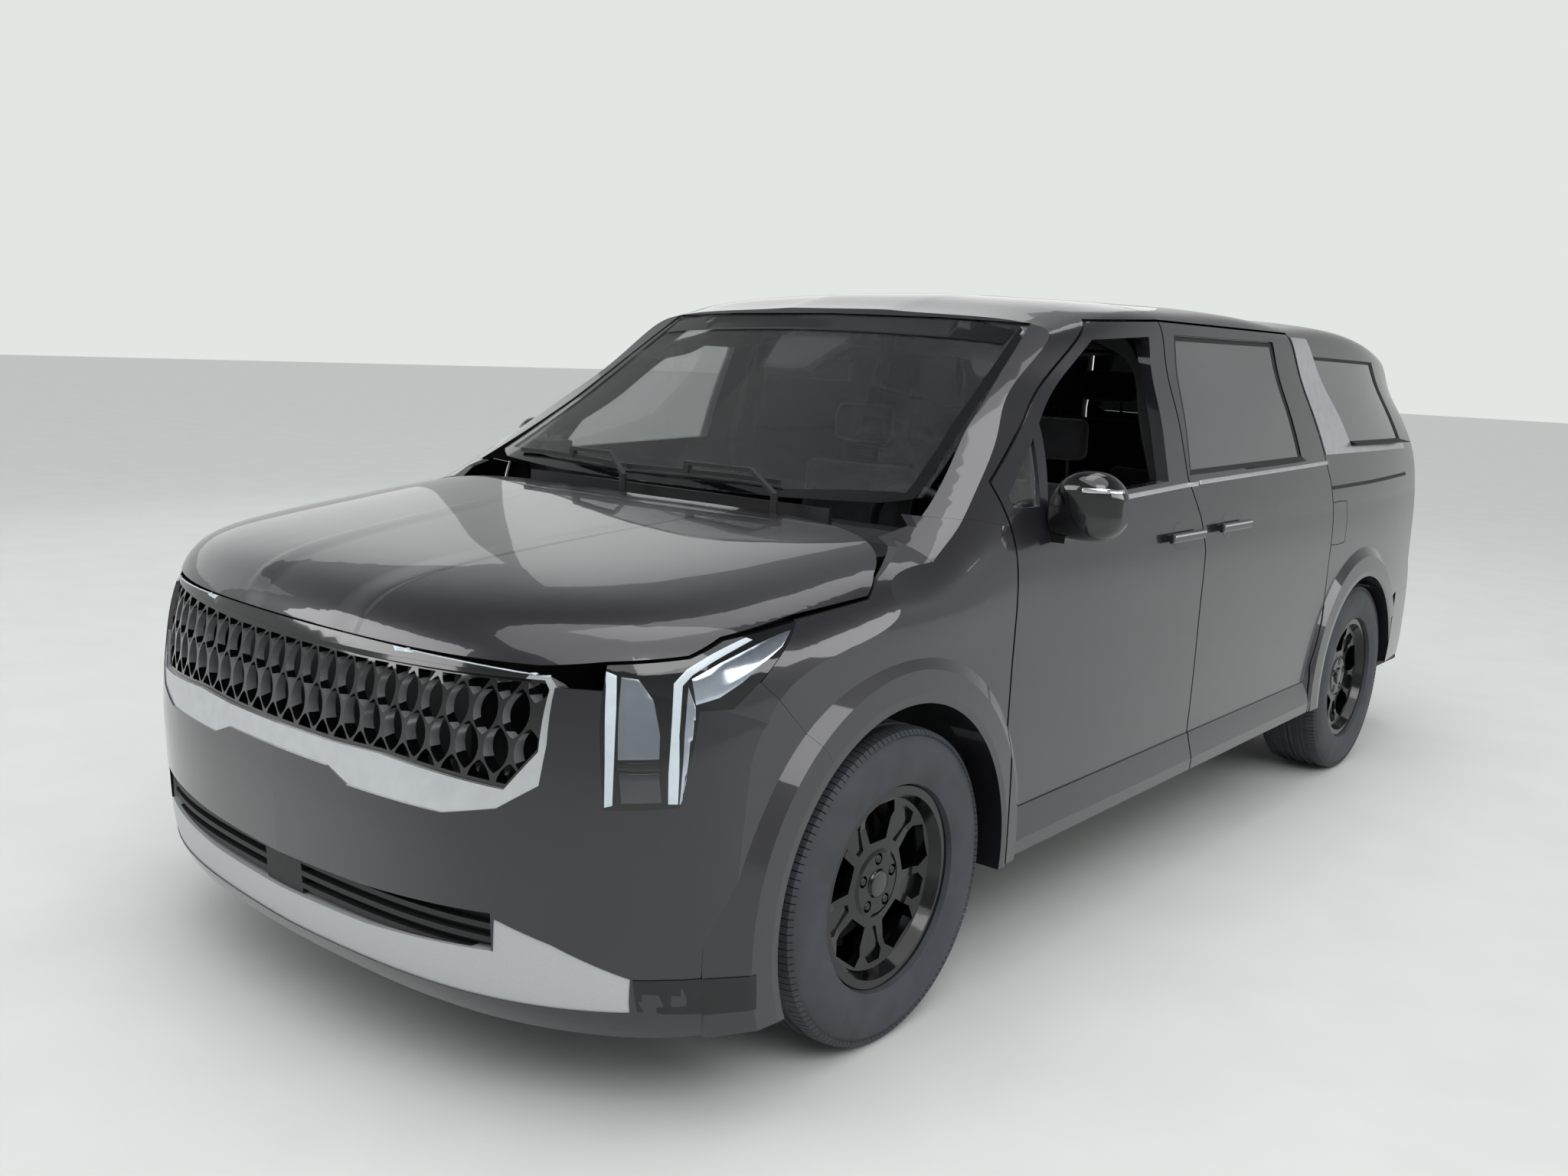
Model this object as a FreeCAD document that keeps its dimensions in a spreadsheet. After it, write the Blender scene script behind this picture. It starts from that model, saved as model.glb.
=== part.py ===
import FreeCAD, Part
import math
import os
import Sketcher

# Minivan, millimetres. X to the vehicle's left, Y to its rear, Z up, origin on the floor at the
# centre of its length and width.

V = FreeCAD.Vector
doc = FreeCAD.newDocument("minivan")
sheet = doc.addObject("Spreadsheet::Sheet", "Sizes")
nodes = {}


class Size:
    """A number that remembers the sheet expression it comes from."""

    def __init__(self, value, text):
        self.value = float(value)
        self.text = text

    def __add__(self, other):
        return Size(self.value + number(other), "(%s + %s)" % (self.text, words(other)))

    def __radd__(self, other):
        return Size(number(other) + self.value, "(%s + %s)" % (words(other), self.text))

    def __sub__(self, other):
        return Size(self.value - number(other), "(%s - %s)" % (self.text, words(other)))

    def __rsub__(self, other):
        return Size(number(other) - self.value, "(%s - %s)" % (words(other), self.text))

    def __mul__(self, other):
        return Size(self.value * number(other), "(%s * %s)" % (self.text, words(other)))

    def __rmul__(self, other):
        return Size(number(other) * self.value, "(%s * %s)" % (words(other), self.text))

    def __truediv__(self, other):
        return Size(self.value / number(other), "(%s / %s)" % (self.text, words(other)))

    def __neg__(self):
        return Size(-self.value, "(0 - %s)" % self.text)

    def __float__(self):
        return self.value


def number(item):
    return item.value if isinstance(item, Size) else float(item)


def words(item):
    return item.text if isinstance(item, Size) else repr(float(item))


def size(name, value):
    """Write one driving dimension into the sheet and hand it back."""
    row = size.row = getattr(size, "row", 0) + 1
    sheet.set("A%d" % row, name)
    sheet.set("B%d" % row, str(value))
    sheet.setAlias("B%d" % row, name)
    return Size(value, "Sizes." + name)


# Overall form
front_overhang = size("front_overhang", 935)
wheelbase = size("wheelbase", 3090)
rear_overhang = size("rear_overhang", 1130)
flank_half_width = size("flank_half_width", 970)
roof_height = size("roof_height", 1750)
flare_reach = size("flare_reach", 22)
belt_height = size("belt_height", 1222)

# Running gear
wheel_radius = size("wheel_radius", 365)
tyre_width = size("tyre_width", 235)
track_width = size("track_width", 1720)
rim_radius = size("rim_radius", 231)
bead_radius = size("bead_radius", 216)
hub_bore = size("hub_bore", 32)
running_clearance = size("running_clearance", 0.05)
seat_clearance = size("seat_clearance", 0.3)
front_well_radius = size("front_well_radius", 425)
rear_well_radius = size("rear_well_radius", 406)
kingpin_inset = size("kingpin_inset", 110)
kingpin_angle = size("kingpin_angle", 12)
kingpin_radius = size("kingpin_radius", 11)

# Panels
shut_gap = size("shut_gap", 7)
skin = size("skin", 8)
fender_skin = size("fender_skin", 6)
door_depth = size("door_depth", 60)
frame_depth = size("frame_depth", 68)
wall_depth = size("wall_depth", 104)
window_frame_depth = size("window_frame_depth", 38)
glass_depth = size("glass_depth", 6)
glass_thickness = size("glass_thickness", 5)
roof_thickness = size("roof_thickness", 30)
roof_ditch = size("roof_ditch", 645)
floor_height = size("floor_height", 320)
floor_thickness = size("floor_thickness", 16)

length = front_overhang + wheelbase + rear_overhang
nose_y = -(length / 2)
tail_y = length / 2
front_axle = nose_y + front_overhang
rear_axle_y = front_axle + wheelbase
wheel_x = track_width / 2

# Side seams, as distances behind the front axle
front_seam = front_axle + size("front_seam_setback", 455)
pillar_seam = front_seam + size("front_door_length", 1082)
sliding_seam = pillar_seam + size("sliding_door_length", 1155)
cowl_y = front_axle + size("cowl_setback", 142)


def spline(points):
    curve = Part.BSplineCurve()
    curve.interpolate(points)
    return curve.toShape()


def box(x0, x1, y0, y1, z0, z1):
    low = V(min(x0, x1), min(y0, y1), min(z0, z1))
    return Part.makeBox(abs(x1 - x0), abs(y1 - y0), abs(z1 - z0), low)


def prism_x(points, x0, x1):
    """Side view outline, (y, z), drawn out across the vehicle."""
    wire = Part.makePolygon([V(x0, y, z) for y, z in points + points[:1]])
    return Part.Face(wire).extrude(V(x1 - x0, 0, 0))


def prism_y(points, y0, y1):
    """Front view outline, (x, z), drawn out along the vehicle."""
    wire = Part.makePolygon([V(x, y0, z) for x, z in points + points[:1]])
    return Part.Face(wire).extrude(V(0, y1 - y0, 0))


def prism_z(points, z0, z1):
    """Plan view outline, (x, y), drawn upwards."""
    wire = Part.makePolygon([V(x, y, z0) for x, y in points + points[:1]])
    return Part.Face(wire).extrude(V(0, 0, z1 - z0))


def mirrored(shape):
    return shape.mirror(V(0, 0, 0), V(1, 0, 0))


def both(shape):
    return Part.makeCompound([shape, mirrored(shape)])


def rod(start, end, radius):
    line = end.sub(start)
    return Part.makeCylinder(radius, line.Length, start, line)


def largest(shape, count=1):
    """The biggest solids, without slivers that a cut may leave."""
    solids = sorted(shape.Solids, key=lambda item: -item.Volume)
    kept = solids[:count]
    return kept[0] if count == 1 else Part.makeCompound(kept)


def feature(label, shape):
    item = doc.addObject("Part::Feature", label)
    item.Shape = shape
    item.Label = label
    nodes[label] = item
    return item


# Outer form: flank sections across the vehicle, and outlines along it

HALF = number(flank_half_width)
ROOF = number(roof_height)
NOSE = number(nose_y)
TAIL = number(tail_y)
COWL = number(cowl_y)
FRONT_Y = number(front_axle)
REAR_Y = number(rear_axle_y)
HUB_Z = number(wheel_radius)

# Distance from the middle of the length, narrowing, roof drop, height where the lean of the
# windscreen pillar starts and how strong it is
stations = [
    (NOSE - 122, 30, 190, 1020, 0.50), (NOSE + 278, 6, 160, 1015, 0.52),
    (NOSE + 678, -2, 140, 1010, 0.54),
    (COWL, -4, 130, 1010, 0.54), (COWL + 250, -2, 120, 1090, 0.40), (COWL + 500, 0, 105, 1180, 0.27),
    (COWL + 800, 0, 78, 1290, 0.14), (COWL + 1000, 0, 34, 1340, 0.06), (COWL + 1250, 0, 10, 1400, 0),
    (COWL + 1600, 0, 2, 1400, 0), (COWL + 2100, 0, 0, 1400, 0), (COWL + 2700, 1, 6, 1400, 0),
    (TAIL - 778, 12, 32, 1350, 0.03), (TAIL - 378, 38, 82, 1250, 0.10), (TAIL + 122, 96, 190, 1200, 0.16)]
# Height and how far the flank stands in there
tuck = [(150, 50), (260, 25), (360, 10), (480, 4), (650, 1), (850, 0), (1020, 1), (1110, 13), (1240, 46),
        (1400, 89), (1560, 142)]
# Share of the upper flank's width and the drop of the roof's crown there
crown = [(0.945, 60), (0.857, 36), (0.595, 15), (0.30, 4)]
flare_height = 1240
crown_height = 1560


def flank_curve(y, narrow, drop, lean_start, lean, inset):
    """One cross section, from the sill up to the middle of the roof."""
    half = HALF - narrow
    top = ROOF - drop
    right = []
    for z, inward in tuck:
        lift = -drop * max(0, (z - flare_height) / (ROOF - flare_height))
        lean_in = lean * max(0, z - lean_start)
        right.append(V(half - inward - lean_in - inset, y, z + lift))
    shoulder = right[-1].x
    for share, fall in crown:
        right.append(V(shoulder * share, y, top - fall - inset))
    right.append(V(0, y, top - inset))
    start = right[1].sub(right[0])
    curve = Part.BSplineCurve()
    curve.interpolate(Points=right, InitialTangent=start.normalize(), FinalTangent=V(-1, 0, 0))
    return curve.toShape(), right


def half_section(station, inset):
    curve, points = flank_curve(*station, inset)
    foot = V(0, points[0].y, points[0].z)
    return Part.Wire([curve, Part.makeLine(points[-1], foot), Part.makeLine(foot, points[0])])


def wall_section(station, near, far):
    outside, first = flank_curve(*station, near)
    inside, second = flank_curve(*station, far)
    return Part.Wire([outside, Part.makeLine(first[-1], second[-1]), inside,
                      Part.makeLine(second[0], first[0])])


def flank(inset):
    """Left half of the body as its cross sections give it, set in by this much."""
    return Part.makeLoft([half_section(station, inset) for station in stations], True, False)


strips = {}


def wall(near, far):
    """The left side and roof between two depths."""
    near = number(near)
    far = number(far)
    if (near, far) not in strips:
        strips[near, far] = Part.makeLoft([wall_section(station, near, far) for station in stations],
                                          True, False)
    return strips[near, far]


# Height and distance behind the foremost point
face_line = [(100, 138), (190, 78), (260, 32), (360, 12), (480, 5), (600, 0), (760, 12), (880, 33),
             (935, 53)]
# Distance behind the foremost point, and height
bonnet_line = [(76, 975), (116, 1010), (178, 1036), (328, 1066), (578, 1096), (828, 1122)]
cowl_height = 1146
screen_line = [(370, 1396), (770, 1658), (1160, 1905)]
# Distance ahead of the rearmost point, and height
tail_line = [(398, 1900), (268, 1655), (186, 1500), (116, 1320), (78, 1240), (56, 1100), (42, 900),
             (33, 760),
             (0, 640), (0, 500), (28, 330), (78, 230), (138, 100)]
# Distance from the middle, and how far the face, bonnet, windscreen and tail stand back there
plan_lines = [(0, 0, 0, 0, 0), (300, 12, 0, 12, 14), (560, 55, 4, 42, 58), (760, 140, 16, 85, 140),
              (860, 215, 34, 112, 220), (925, 300, 60, 132, 320), (965, 410, 100, 146, 440),
              (1000, 600, 190, 160, 620)]


def face_points(x, plan, depth):
    back, fall = plan[0], plan[1]
    points = [V(x, NOSE + d + back + depth, z - fall * max(0, (z - 600) / 335.0)) for z, d in face_line]
    points[-1].z -= depth
    return points


def bonnet_points(x, plan, depth):
    back, fall = plan[0], plan[1]
    points = []
    for d, z in [(53, 935)] + bonnet_line + [(COWL - NOSE, cowl_height)]:
        share = max(0, (COWL - NOSE - d) / (COWL - NOSE - 53.0))
        points.append(V(x, NOSE + d + (back + depth) * share, z - fall - depth))
    return points


def screen_points(x, plan, depth):
    fall, swept = plan[1], plan[2]
    points = []
    for d, z in [(0, cowl_height)] + screen_line:
        share = max(0, (1658 - z) / 512.0)
        near = min(1, d / 370.0)
        points.append(V(x, COWL + d + (swept + 1.2 * depth) * near,
                        z - fall * share - depth * (1 - near)))
    return points


def tail_points(x, plan, depth):
    points = []
    for d, z in tail_line:
        round_off = plan[3] * (1 + 0.35 * max(0, (z - 1240) / 660.0))
        points.append(V(x, TAIL - d - depth - round_off, z))
    return points


def outline(x, plan, depth=0):
    front = face_points(x, plan, depth)
    hood = [front[-1]] + bonnet_points(x, plan, depth)[1:]
    glass = [hood[-1]] + screen_points(x, plan, depth)[1:]
    back_end = tail_points(x, plan, depth)
    edges = [spline(front), spline(hood), spline(glass), Part.makeLine(glass[-1], back_end[0])]
    edges += [spline(back_end[:4]), spline(back_end[3:8]), spline(back_end[7:])]
    edges.append(Part.makeLine(back_end[-1], front[0]))
    return Part.Wire(edges)


def across(section):
    """Loft a side view section over the whole width."""
    sections = [section(-x, plan) for x, *plan in reversed(plan_lines[1:])]
    sections += [section(x, plan) for x, *plan in plan_lines]
    return Part.makeLoft(sections, True, False)


def inner_hull(depth):
    """What is left of the body's left half under a skin of this depth."""
    depth = number(depth)
    return flank(depth).common(across(lambda x, plan: outline(x, plan, depth)))


def sheet_between(points, near, far):
    """The face, bonnet, windscreen or tail between two depths."""
    def section(x, plan):
        outside = points(x, plan, near)
        inside = points(x, plan, far)
        return Part.Wire([spline(outside), Part.makeLine(outside[-1], inside[-1]), spline(inside),
                          Part.makeLine(inside[0], outside[0])])
    return across(section)


def wheel_well(y, radius, x0, x1):
    return Part.makeCylinder(radius, x1 - x0, V(x0, y, HUB_Z), V(1, 0, 0))


flare_root = HALF - 65


def flare(y, opening, ridge, crease):
    """Raised lip round a wheel opening, turned about the wheel's axis."""
    reach = HALF + number(flare_reach)
    section = [V(flare_root, 0, opening - 30), V(reach - 1, 0, opening - 30), V(reach - 1, 0, opening),
               V(reach, 0, opening + 20),
               V(reach - 3, 0, ridge), V(reach - 50, 0, crease), V(flare_root, 0, crease)]
    face = Part.Face(Part.makePolygon(section + section[:1]))
    ring = face.revolve(V(0, 0, 0), V(1, 0, 0), 360)
    ring.translate(V(0, y, HUB_Z))
    return ring


well_front = number(front_well_radius)
well_rear = number(rear_well_radius)
run = across(outline)
hull = flank(0).common(run)
front_crease = 592
rear_crease = 560
flare_front = flare(FRONT_Y, well_front, 500, front_crease)
flare_rear = flare(REAR_Y, well_rear, 484, rear_crease)

# Band along the foot of the doors, standing out like the flares
sill_front = FRONT_Y + 300
sill_rear = REAR_Y - 300
sill_section = [(HALF - 12, 430), (HALF - 2, 430), (HALF + 17, 352), (HALF + 15, 318), (HALF - 4, 300),
                (HALF - 23, 300)]
band = prism_y(sill_section, sill_front, sill_rear)

underside = [(NOSE - 50, 236), (NOSE + 120, 222), (NOSE + 560, 205), (FRONT_Y + 300, 300),
             (REAR_Y - 300, 318),
             (REAR_Y + 300, 330), (TAIL - 120, 345), (TAIL + 50, 380)]
under_cut = prism_x(underside + [(TAIL + 50, -300), (NOSE - 50, -300)], -1200, 1200)
wells = [wheel_well(FRONT_Y, well_front, 525, 1100), wheel_well(REAR_Y, well_rear, 655, 1100)]
raised = [flare_front, flare_rear, band]


def crosses(first, second):
    return first.BoundBox.intersect(second.BoundBox)


def outer_part(prism, base, added=True):
    """A wall's part inside a prism, with what stands out from it there, clear of the wheels."""
    part = base.common(prism)
    if added:
        extra = [item.common(prism) for item in raised if crosses(item, prism)]
        extra = [item for item in extra if item.Volume > 1]
        if extra:
            part = part.fuse(extra)
    cutters = [item for item in wells + [under_cut] if crosses(item, part)]
    return part.cut(cutters) if cutters else part


GAP = number(shut_gap)
FRAME = number(frame_depth)
WALL = number(wall_depth)

# Side view outlines, (y, z)

SEAM_FRONT = number(front_seam)
SEAM_PILLAR = number(pillar_seam)
SEAM_REAR = number(sliding_seam)
BELT = number(belt_height)
door_foot = 306
pillar_curve = [(SEAM_PILLAR + 25, door_foot), (SEAM_PILLAR + 25, 1000), (SEAM_PILLAR - 5, 1100),
                (SEAM_PILLAR - 58, BELT - 8), (SEAM_PILLAR - 68, 1668)]
screen_pillar = [(COWL + 310, 1243), (COWL + 565, 1392), (COWL + 955, 1652)]


def shifted(points, dy=0, dz=0):
    return [(y + dy, z + dz) for y, z in points]


def inset(points, distance):
    """The same outline, that far inside itself."""
    wire = Part.makePolygon([V(0, y, z) for y, z in points + points[:1]])
    smaller = wire.makeOffset2D(-number(distance), 2, False, False, True)
    return [(v.Point.y, v.Point.z) for v in smaller.OrderedVertexes]


front_door_outline = ([(SEAM_FRONT, door_foot), (SEAM_FRONT, 1200)] + screen_pillar
                      + shifted(list(reversed(pillar_curve)), -GAP))
rear_arch_side = [(SEAM_REAR, 700), (SEAM_REAR - 48, 600), (SEAM_REAR - 98, 490),
                  (SEAM_REAR - 112, door_foot)]
sliding_top_rear = (SEAM_REAR - 192, 1668)
sliding_outline = (pillar_curve + [sliding_top_rear, (SEAM_REAR - 28, BELT + 28), (SEAM_REAR, 1150)]
                   + rear_arch_side)
quarter_light = [(SEAM_FRONT + 34, 1183), (SEAM_FRONT + 34, 1212), (COWL + 547, 1345), (COWL + 457, 1183)]
front_window = [(COWL + 497, 1188), (COWL + 602, 1380), (COWL + 935, 1603), (SEAM_PILLAR - 160, 1622),
                (SEAM_PILLAR - 196, BELT - 10)]
sliding_window = [(SEAM_PILLAR - 45, BELT + 2), (SEAM_PILLAR + 6, 1634), (SEAM_REAR - 352, 1638),
                  (SEAM_REAR - 256, BELT + 14)]
rear_window = [(REAR_Y - 376, 1598), (REAR_Y - 112, BELT + 57), (REAR_Y + 592, BELT + 54),
               (REAR_Y + 402, 1593)]
edge_width = 24


def pull(y0, y1, z):
    """Pull handle on two feet."""
    bar = box(HALF + 9, HALF + 23, y0, y1, z - 13, z + 13)
    bar = bar.makeFillet(5, [edge for edge in bar.Edges if edge.BoundBox.XMin > HALF + 20])
    feet = [box(HALF - 10, HALF + 10, y, y + 24, z - 9, z + 9) for y in (y0 + 8, y1 - 32)]
    return bar.fuse(feet)


hinge_x = HALF - 20
hinge_y = SEAM_FRONT + 75


def door(outline, windows, front_setback, handle):
    """Skin over the whole outline, a thick box below the belt and a frame round the glass."""
    cuts = [prism_x(window, 300, 1200) for window in windows]
    cover = outer_part(prism_x(outline, 500, 1200), wall(0, skin)).cut(cuts)
    cover = cover.fuse(handle).cut(box(0, hinge_x - 15, -3000, hinge_y + 45, 0, 760))
    core = inset(outline, edge_width)
    low = min(y for y, z in core) + front_setback
    reach = prism_x([(low, 0), (3000, 0), (3000, BELT - 62), (low, BELT - 62)], 500, 1200)
    start = number(skin) + number(seat_clearance)
    lower = outer_part(prism_x(core, 500, 1200).common(reach), wall(start, door_depth), False)
    upper = prism_x(core, 500, 1200).common(box(0, 1200, -3000, 3000, BELT - 62, 2000))
    upper = wall(start, window_frame_depth).common(upper).cut(cuts)
    behind = [Part.makeCylinder(crease + 0.4, 200, V(flare_root - 0.3, y, HUB_Z), V(1, 0, 0))
              for y, crease in ((FRONT_Y, front_crease), (REAR_Y, rear_crease))]
    behind = [item for item in behind if crosses(item, lower)]
    if behind:
        lower = lower.cut(behind)
    return largest(cover), largest(lower.fuse([upper], 0.02))


box_setback = 75 + 20 - edge_width
front_skin, front_core = door(front_door_outline, [front_window, quarter_light], box_setback,
                               pull(SEAM_PILLAR - 262, SEAM_PILLAR - 34, 1056))
sliding_skin, sliding_core = door(sliding_outline, [sliding_window], 0,
                                  pull(SEAM_PILLAR + 92, SEAM_PILLAR + 320, 1062))


# Latch and roller blocks of the sliding door, against the frame behind its rim
for low in (SEAM_PILLAR + 50, SEAM_REAR - 41):
    block_room = box(500, 1200, low, low + 16, 860, 940)
    sliding_core = sliding_core.fuse(wall(number(door_depth) - 4, FRAME - 0.3).common(block_room))
sliding_core = largest(sliding_core)


def pane(window, clearance=0.3):
    depth = number(glass_depth)
    zone = prism_x(inset(window, clearance), 500, 1200)
    return largest(wall(depth, depth + number(glass_thickness)).common(zone))


front_pane = pane(front_window)
light_pane = pane(quarter_light)
sliding_pane = pane(sliding_window)
rear_pane = pane(rear_window)

# Body side: outer panel from the windscreen pillar to the tail, and the frame behind it

ditch = number(roof_ditch)
screen_half = [(0, 1174), (400, 1176), (700, 1188), (775, 1204), (668, 1640), (400, 1650), (0, 1655)]
screen_outline = screen_half + [(-x, z) for x, z in reversed(screen_half[1:-1])]
fender_top = [(SEAM_FRONT - GAP, 1143), (SEAM_FRONT - 120, 1165), (COWL + 95, 1170)]
hatch_half = [(0, 1900), (ditch, 1900), (ditch, 1640), (735, 1290), (772, 1100), (790, 880), (770, 640),
              (0, 640)]
hatch_outline = hatch_half + [(-x, z) for x, z in reversed(hatch_half[1:-1])]
hatch_front = TAIL - 484
body_side = shifted([fender_top[2], fender_top[1], fender_top[0]], 0, 0.4) + [(SEAM_FRONT + 40, 1150),
             (SEAM_REAR - 60, 1150), (SEAM_REAR - 300, 500), (SEAM_REAR - 300, 280), (TAIL + 50, 280),
             (TAIL + 50, 1900), (COWL, 1900)]
front_gap = prism_x(inset(front_door_outline, -GAP), 300, 1200)
sliding_gap = prism_x(inset(sliding_outline, -GAP), 300, 1200)
screen_zone = prism_y(screen_outline, COWL - 60, COWL + 1000)
bumper_height = 640
rear_bumper_side = [(REAR_Y + 380, 200), (REAR_Y + 400, 560), (REAR_Y + 560, bumper_height),
                    (TAIL + 80, bumper_height),
                    (TAIL + 80, 200)]
rear_bumper_zone = prism_x(rear_bumper_side, -1100, 1100)
hatch_zone = prism_y(hatch_outline, hatch_front, TAIL + 80)
split_y = TAIL - 540

side_front = wall(0, FRAME - 0.3).common(prism_x(body_side, ditch, 1200)).common(box(0, 1200, -3000,
                                                                                     split_y, 0, 2000))
extra = [item.common(prism_x(body_side, ditch, 1200)) for item in (flare_rear, band)]
side_front = side_front.fuse(extra)
side_front = side_front.common(run).cut([front_gap, sliding_gap, screen_zone, wells[1], under_cut,
                                         rear_bumper_zone,
                                         prism_x(rear_window, 300, 1200)])
rear_inner = inner_hull(50)
rear_shell = hull.common(box(0, 1200, split_y, TAIL + 60, 0, 2000)).cut([rear_inner, under_cut])
rear_corner = rear_shell.common(box(ditch, 1200, split_y, TAIL + 60, 0, 2000))
rear_corner = rear_corner.cut([hatch_zone, rear_bumper_zone, prism_x(rear_window, 300, 1200)])
tail_lamp = [(720, 1240), (1100, 1240), (1100, 1178), (884, 1150), (884, 905), (770, 905), (750, 1100)]
lamp_front = TAIL - 330
tail_lamps = largest(rear_corner.common(prism_y(inset(tail_lamp, seat_clearance), lamp_front + 0.3,
                                                TAIL + 80)))
feature("tail_lamps", both(tail_lamps))
rear_corner = rear_corner.cut(prism_y(tail_lamp, lamp_front, TAIL + 80))
body_panel = largest(side_front.fuse([rear_corner], 0.02))
feature("body_sides", both(body_panel))
trim_outline = [(SEAM_REAR - 181, 1660), (SEAM_REAR - 18, 1250), (REAR_Y + 628, 1246),
                (REAR_Y + 608, 1272),
                (REAR_Y - 116, 1274), (REAR_Y - 380, 1601), (REAR_Y - 408, 1642), (REAR_Y - 418, 1660)]
pillar_trim = largest(wall(-4, -0.3).common(prism_x(trim_outline, 500, 1200)))
feature("pillar_trim", both(pillar_trim))

frame_side = [(SEAM_FRONT + 60, 306), (SEAM_FRONT + 60, 1236), (COWL + 335, 1260), (COWL + 930, 1690),
              (COWL + 1200, 1700),
              (TAIL - 620, 1690), (TAIL - 620, 330), (SEAM_FRONT + 200, 306)]
front_way = inset(front_door_outline, 42)
sliding_way = inset(sliding_outline, 42)
rear_way = inset(rear_window, -12)
frame = wall(FRAME, WALL).common(prism_x(frame_side, 300, 1200))
frame = frame.cut([prism_x(way, 300, 1200) for way in (front_way, sliding_way, rear_way)] + [wells[1],
                                                                                             under_cut])
swing_room = Part.makeCylinder(121, 1000, V(hinge_x, hinge_y, 300))
frame = largest(frame.cut(swing_room))
feature("side_frames", both(frame))


# Roof and windscreen

HATCH_GAP = number(size("hatch_gap", 9))
roof_rear = hatch_front - HATCH_GAP
roof_half = wall(0, roof_thickness).common(box(0, ditch - 0.3, COWL, roof_rear, 1500, 2000))
roof_half = largest(roof_half.common(run).cut(screen_zone))
feature("roof_panel", roof_half.fuse(mirrored(roof_half)))
screen_sheet = sheet_between(screen_points, 5, 10)
glass_outline = [(x * 0.9995, z - 0.4 if z > 1500 else z) for x, z in screen_outline]
feature("windscreen", largest(screen_sheet.common(prism_y(glass_outline, COWL - 60, COWL + 1000))))


# Bonnet, fenders, bumper and lamps

bonnet_foot = [(COWL - 1100, 937), (COWL - 1000, 937), (COWL - 921, 940), (COWL - 851, 955),
               (COWL - 737, 968),
               (COWL - 663, 996), (COWL - 478, 1021), (COWL - 258, 1038), (COWL - 191, 1072),
               (COWL - 34, 1130.5), (COWL + 64, 1165)]
bonnet_side = bonnet_foot + [(COWL + 64, 1400), (COWL - 1100, 1400)]
cowl_arc = 5476
behind_bonnet = Part.makeCylinder(cowl_arc, 600, V(0, COWL - 6 + cowl_arc, 900))
bonnet_half = sheet_between(bonnet_points, 0, 18).common(flank(0)).common(prism_x(bonnet_side, -1, 1100))
bonnet_half = largest(bonnet_half.cut(behind_bonnet))
bonnet_skin = bonnet_half.fuse(mirrored(bonnet_half))

front_zone = hull.common(box(0, 1200, NOSE - 60, SEAM_FRONT + 60, 0, 1300))
front_shell = front_zone.cut(inner_hull(fender_skin))
fender_foot = [(FRONT_Y - 258, 690), (FRONT_Y, 600), (FRONT_Y + 300, 296), (SEAM_FRONT - GAP, 296)]
fender_side = fender_top + [(COWL + 66, 1148), (COWL - 30, 1111), (COWL - 110, 1089.5),
               (COWL - 194, 1064), (COWL - 260, 1031), (COWL - 478.5, 1012), (COWL - 612, 911),
               (COWL - 430, 740)] + fender_foot
fender = outer_part(prism_x(fender_side, 500, 1200), front_shell)
# Room for the front door's edge, which turns in behind the fender: from one height to the next, and
# how far from the hinge
for low, high, reach in ((280, 590, 92), (590, 640, 88), (640, 1200, 84)):
    fender = fender.cut(rod(V(hinge_x, hinge_y, low), V(hinge_x, hinge_y, high), reach))
fender = largest(fender)
feature("fenders", both(fender))

grille_half = [(0, 901), (231, 901), (693, 914), (706, 898), (707, 784), (650, 705), (346, 722),
               (200, 716), (0, 715)]
surround_half = [(0, 905), (700, 921), (716, 905), (722, 800), (716, 722), (640, 668), (524, 640),
                 (260, 640), (192, 666),
                 (0, 666)]
intake_half = [(0, 430), (300, 438), (628, 457), (628, 378), (300, 352), (0, 345)]
skid_half = [(0, 262), (493, 272), (856, 279), (862, 352), (740, 412), (633, 447), (628, 378), (300, 352),
             (0, 345)]


def front_outline(half):
    rest = [(-x, z) for x, z in reversed(half) if x > 0]
    return half + rest


lamp_side = [(NOSE - 60, 677), (FRONT_Y - 642, 690), (FRONT_Y - 598, 868), (FRONT_Y - 534, 866),
             (COWL - 482, 1010),
             (COWL - 663, 989), (COWL - 737, 962), (COWL - 851, 949), (NOSE - 60, 949)]
lamp_face = [(826, 670), (786, 952), (786, 1100), (1000, 1100), (1000, 670)]
lamp_zone = prism_x(lamp_side, 600, 1100).common(prism_y(lamp_face, NOSE - 60, COWL))
bumper_side = [(NOSE - 60, 180), (NOSE - 60, 904.6), (FRONT_Y - 598, 903), (COWL - 612.4, 910),
               (COWL - 430.4, 739.6),
               (FRONT_Y - 258.4, 689.8), (FRONT_Y, 600), (FRONT_Y - 100, 180)]
bumper = outer_part(prism_x(bumper_side, -1, 1200), front_shell)
openings = [prism_y(half, NOSE - 60, NOSE + 900) for half in (surround_half, intake_half, skid_half)]
bumper = bumper.cut(openings + [lamp_zone])
bumper = largest(bumper)
feature("front_bumper", bumper.fuse(mirrored(bumper)))

lamp_core = inner_hull(45)
lamp = largest(front_zone.common(lamp_zone.copy()).cut(lamp_core))
feature("headlamps", both(lamp))

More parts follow.
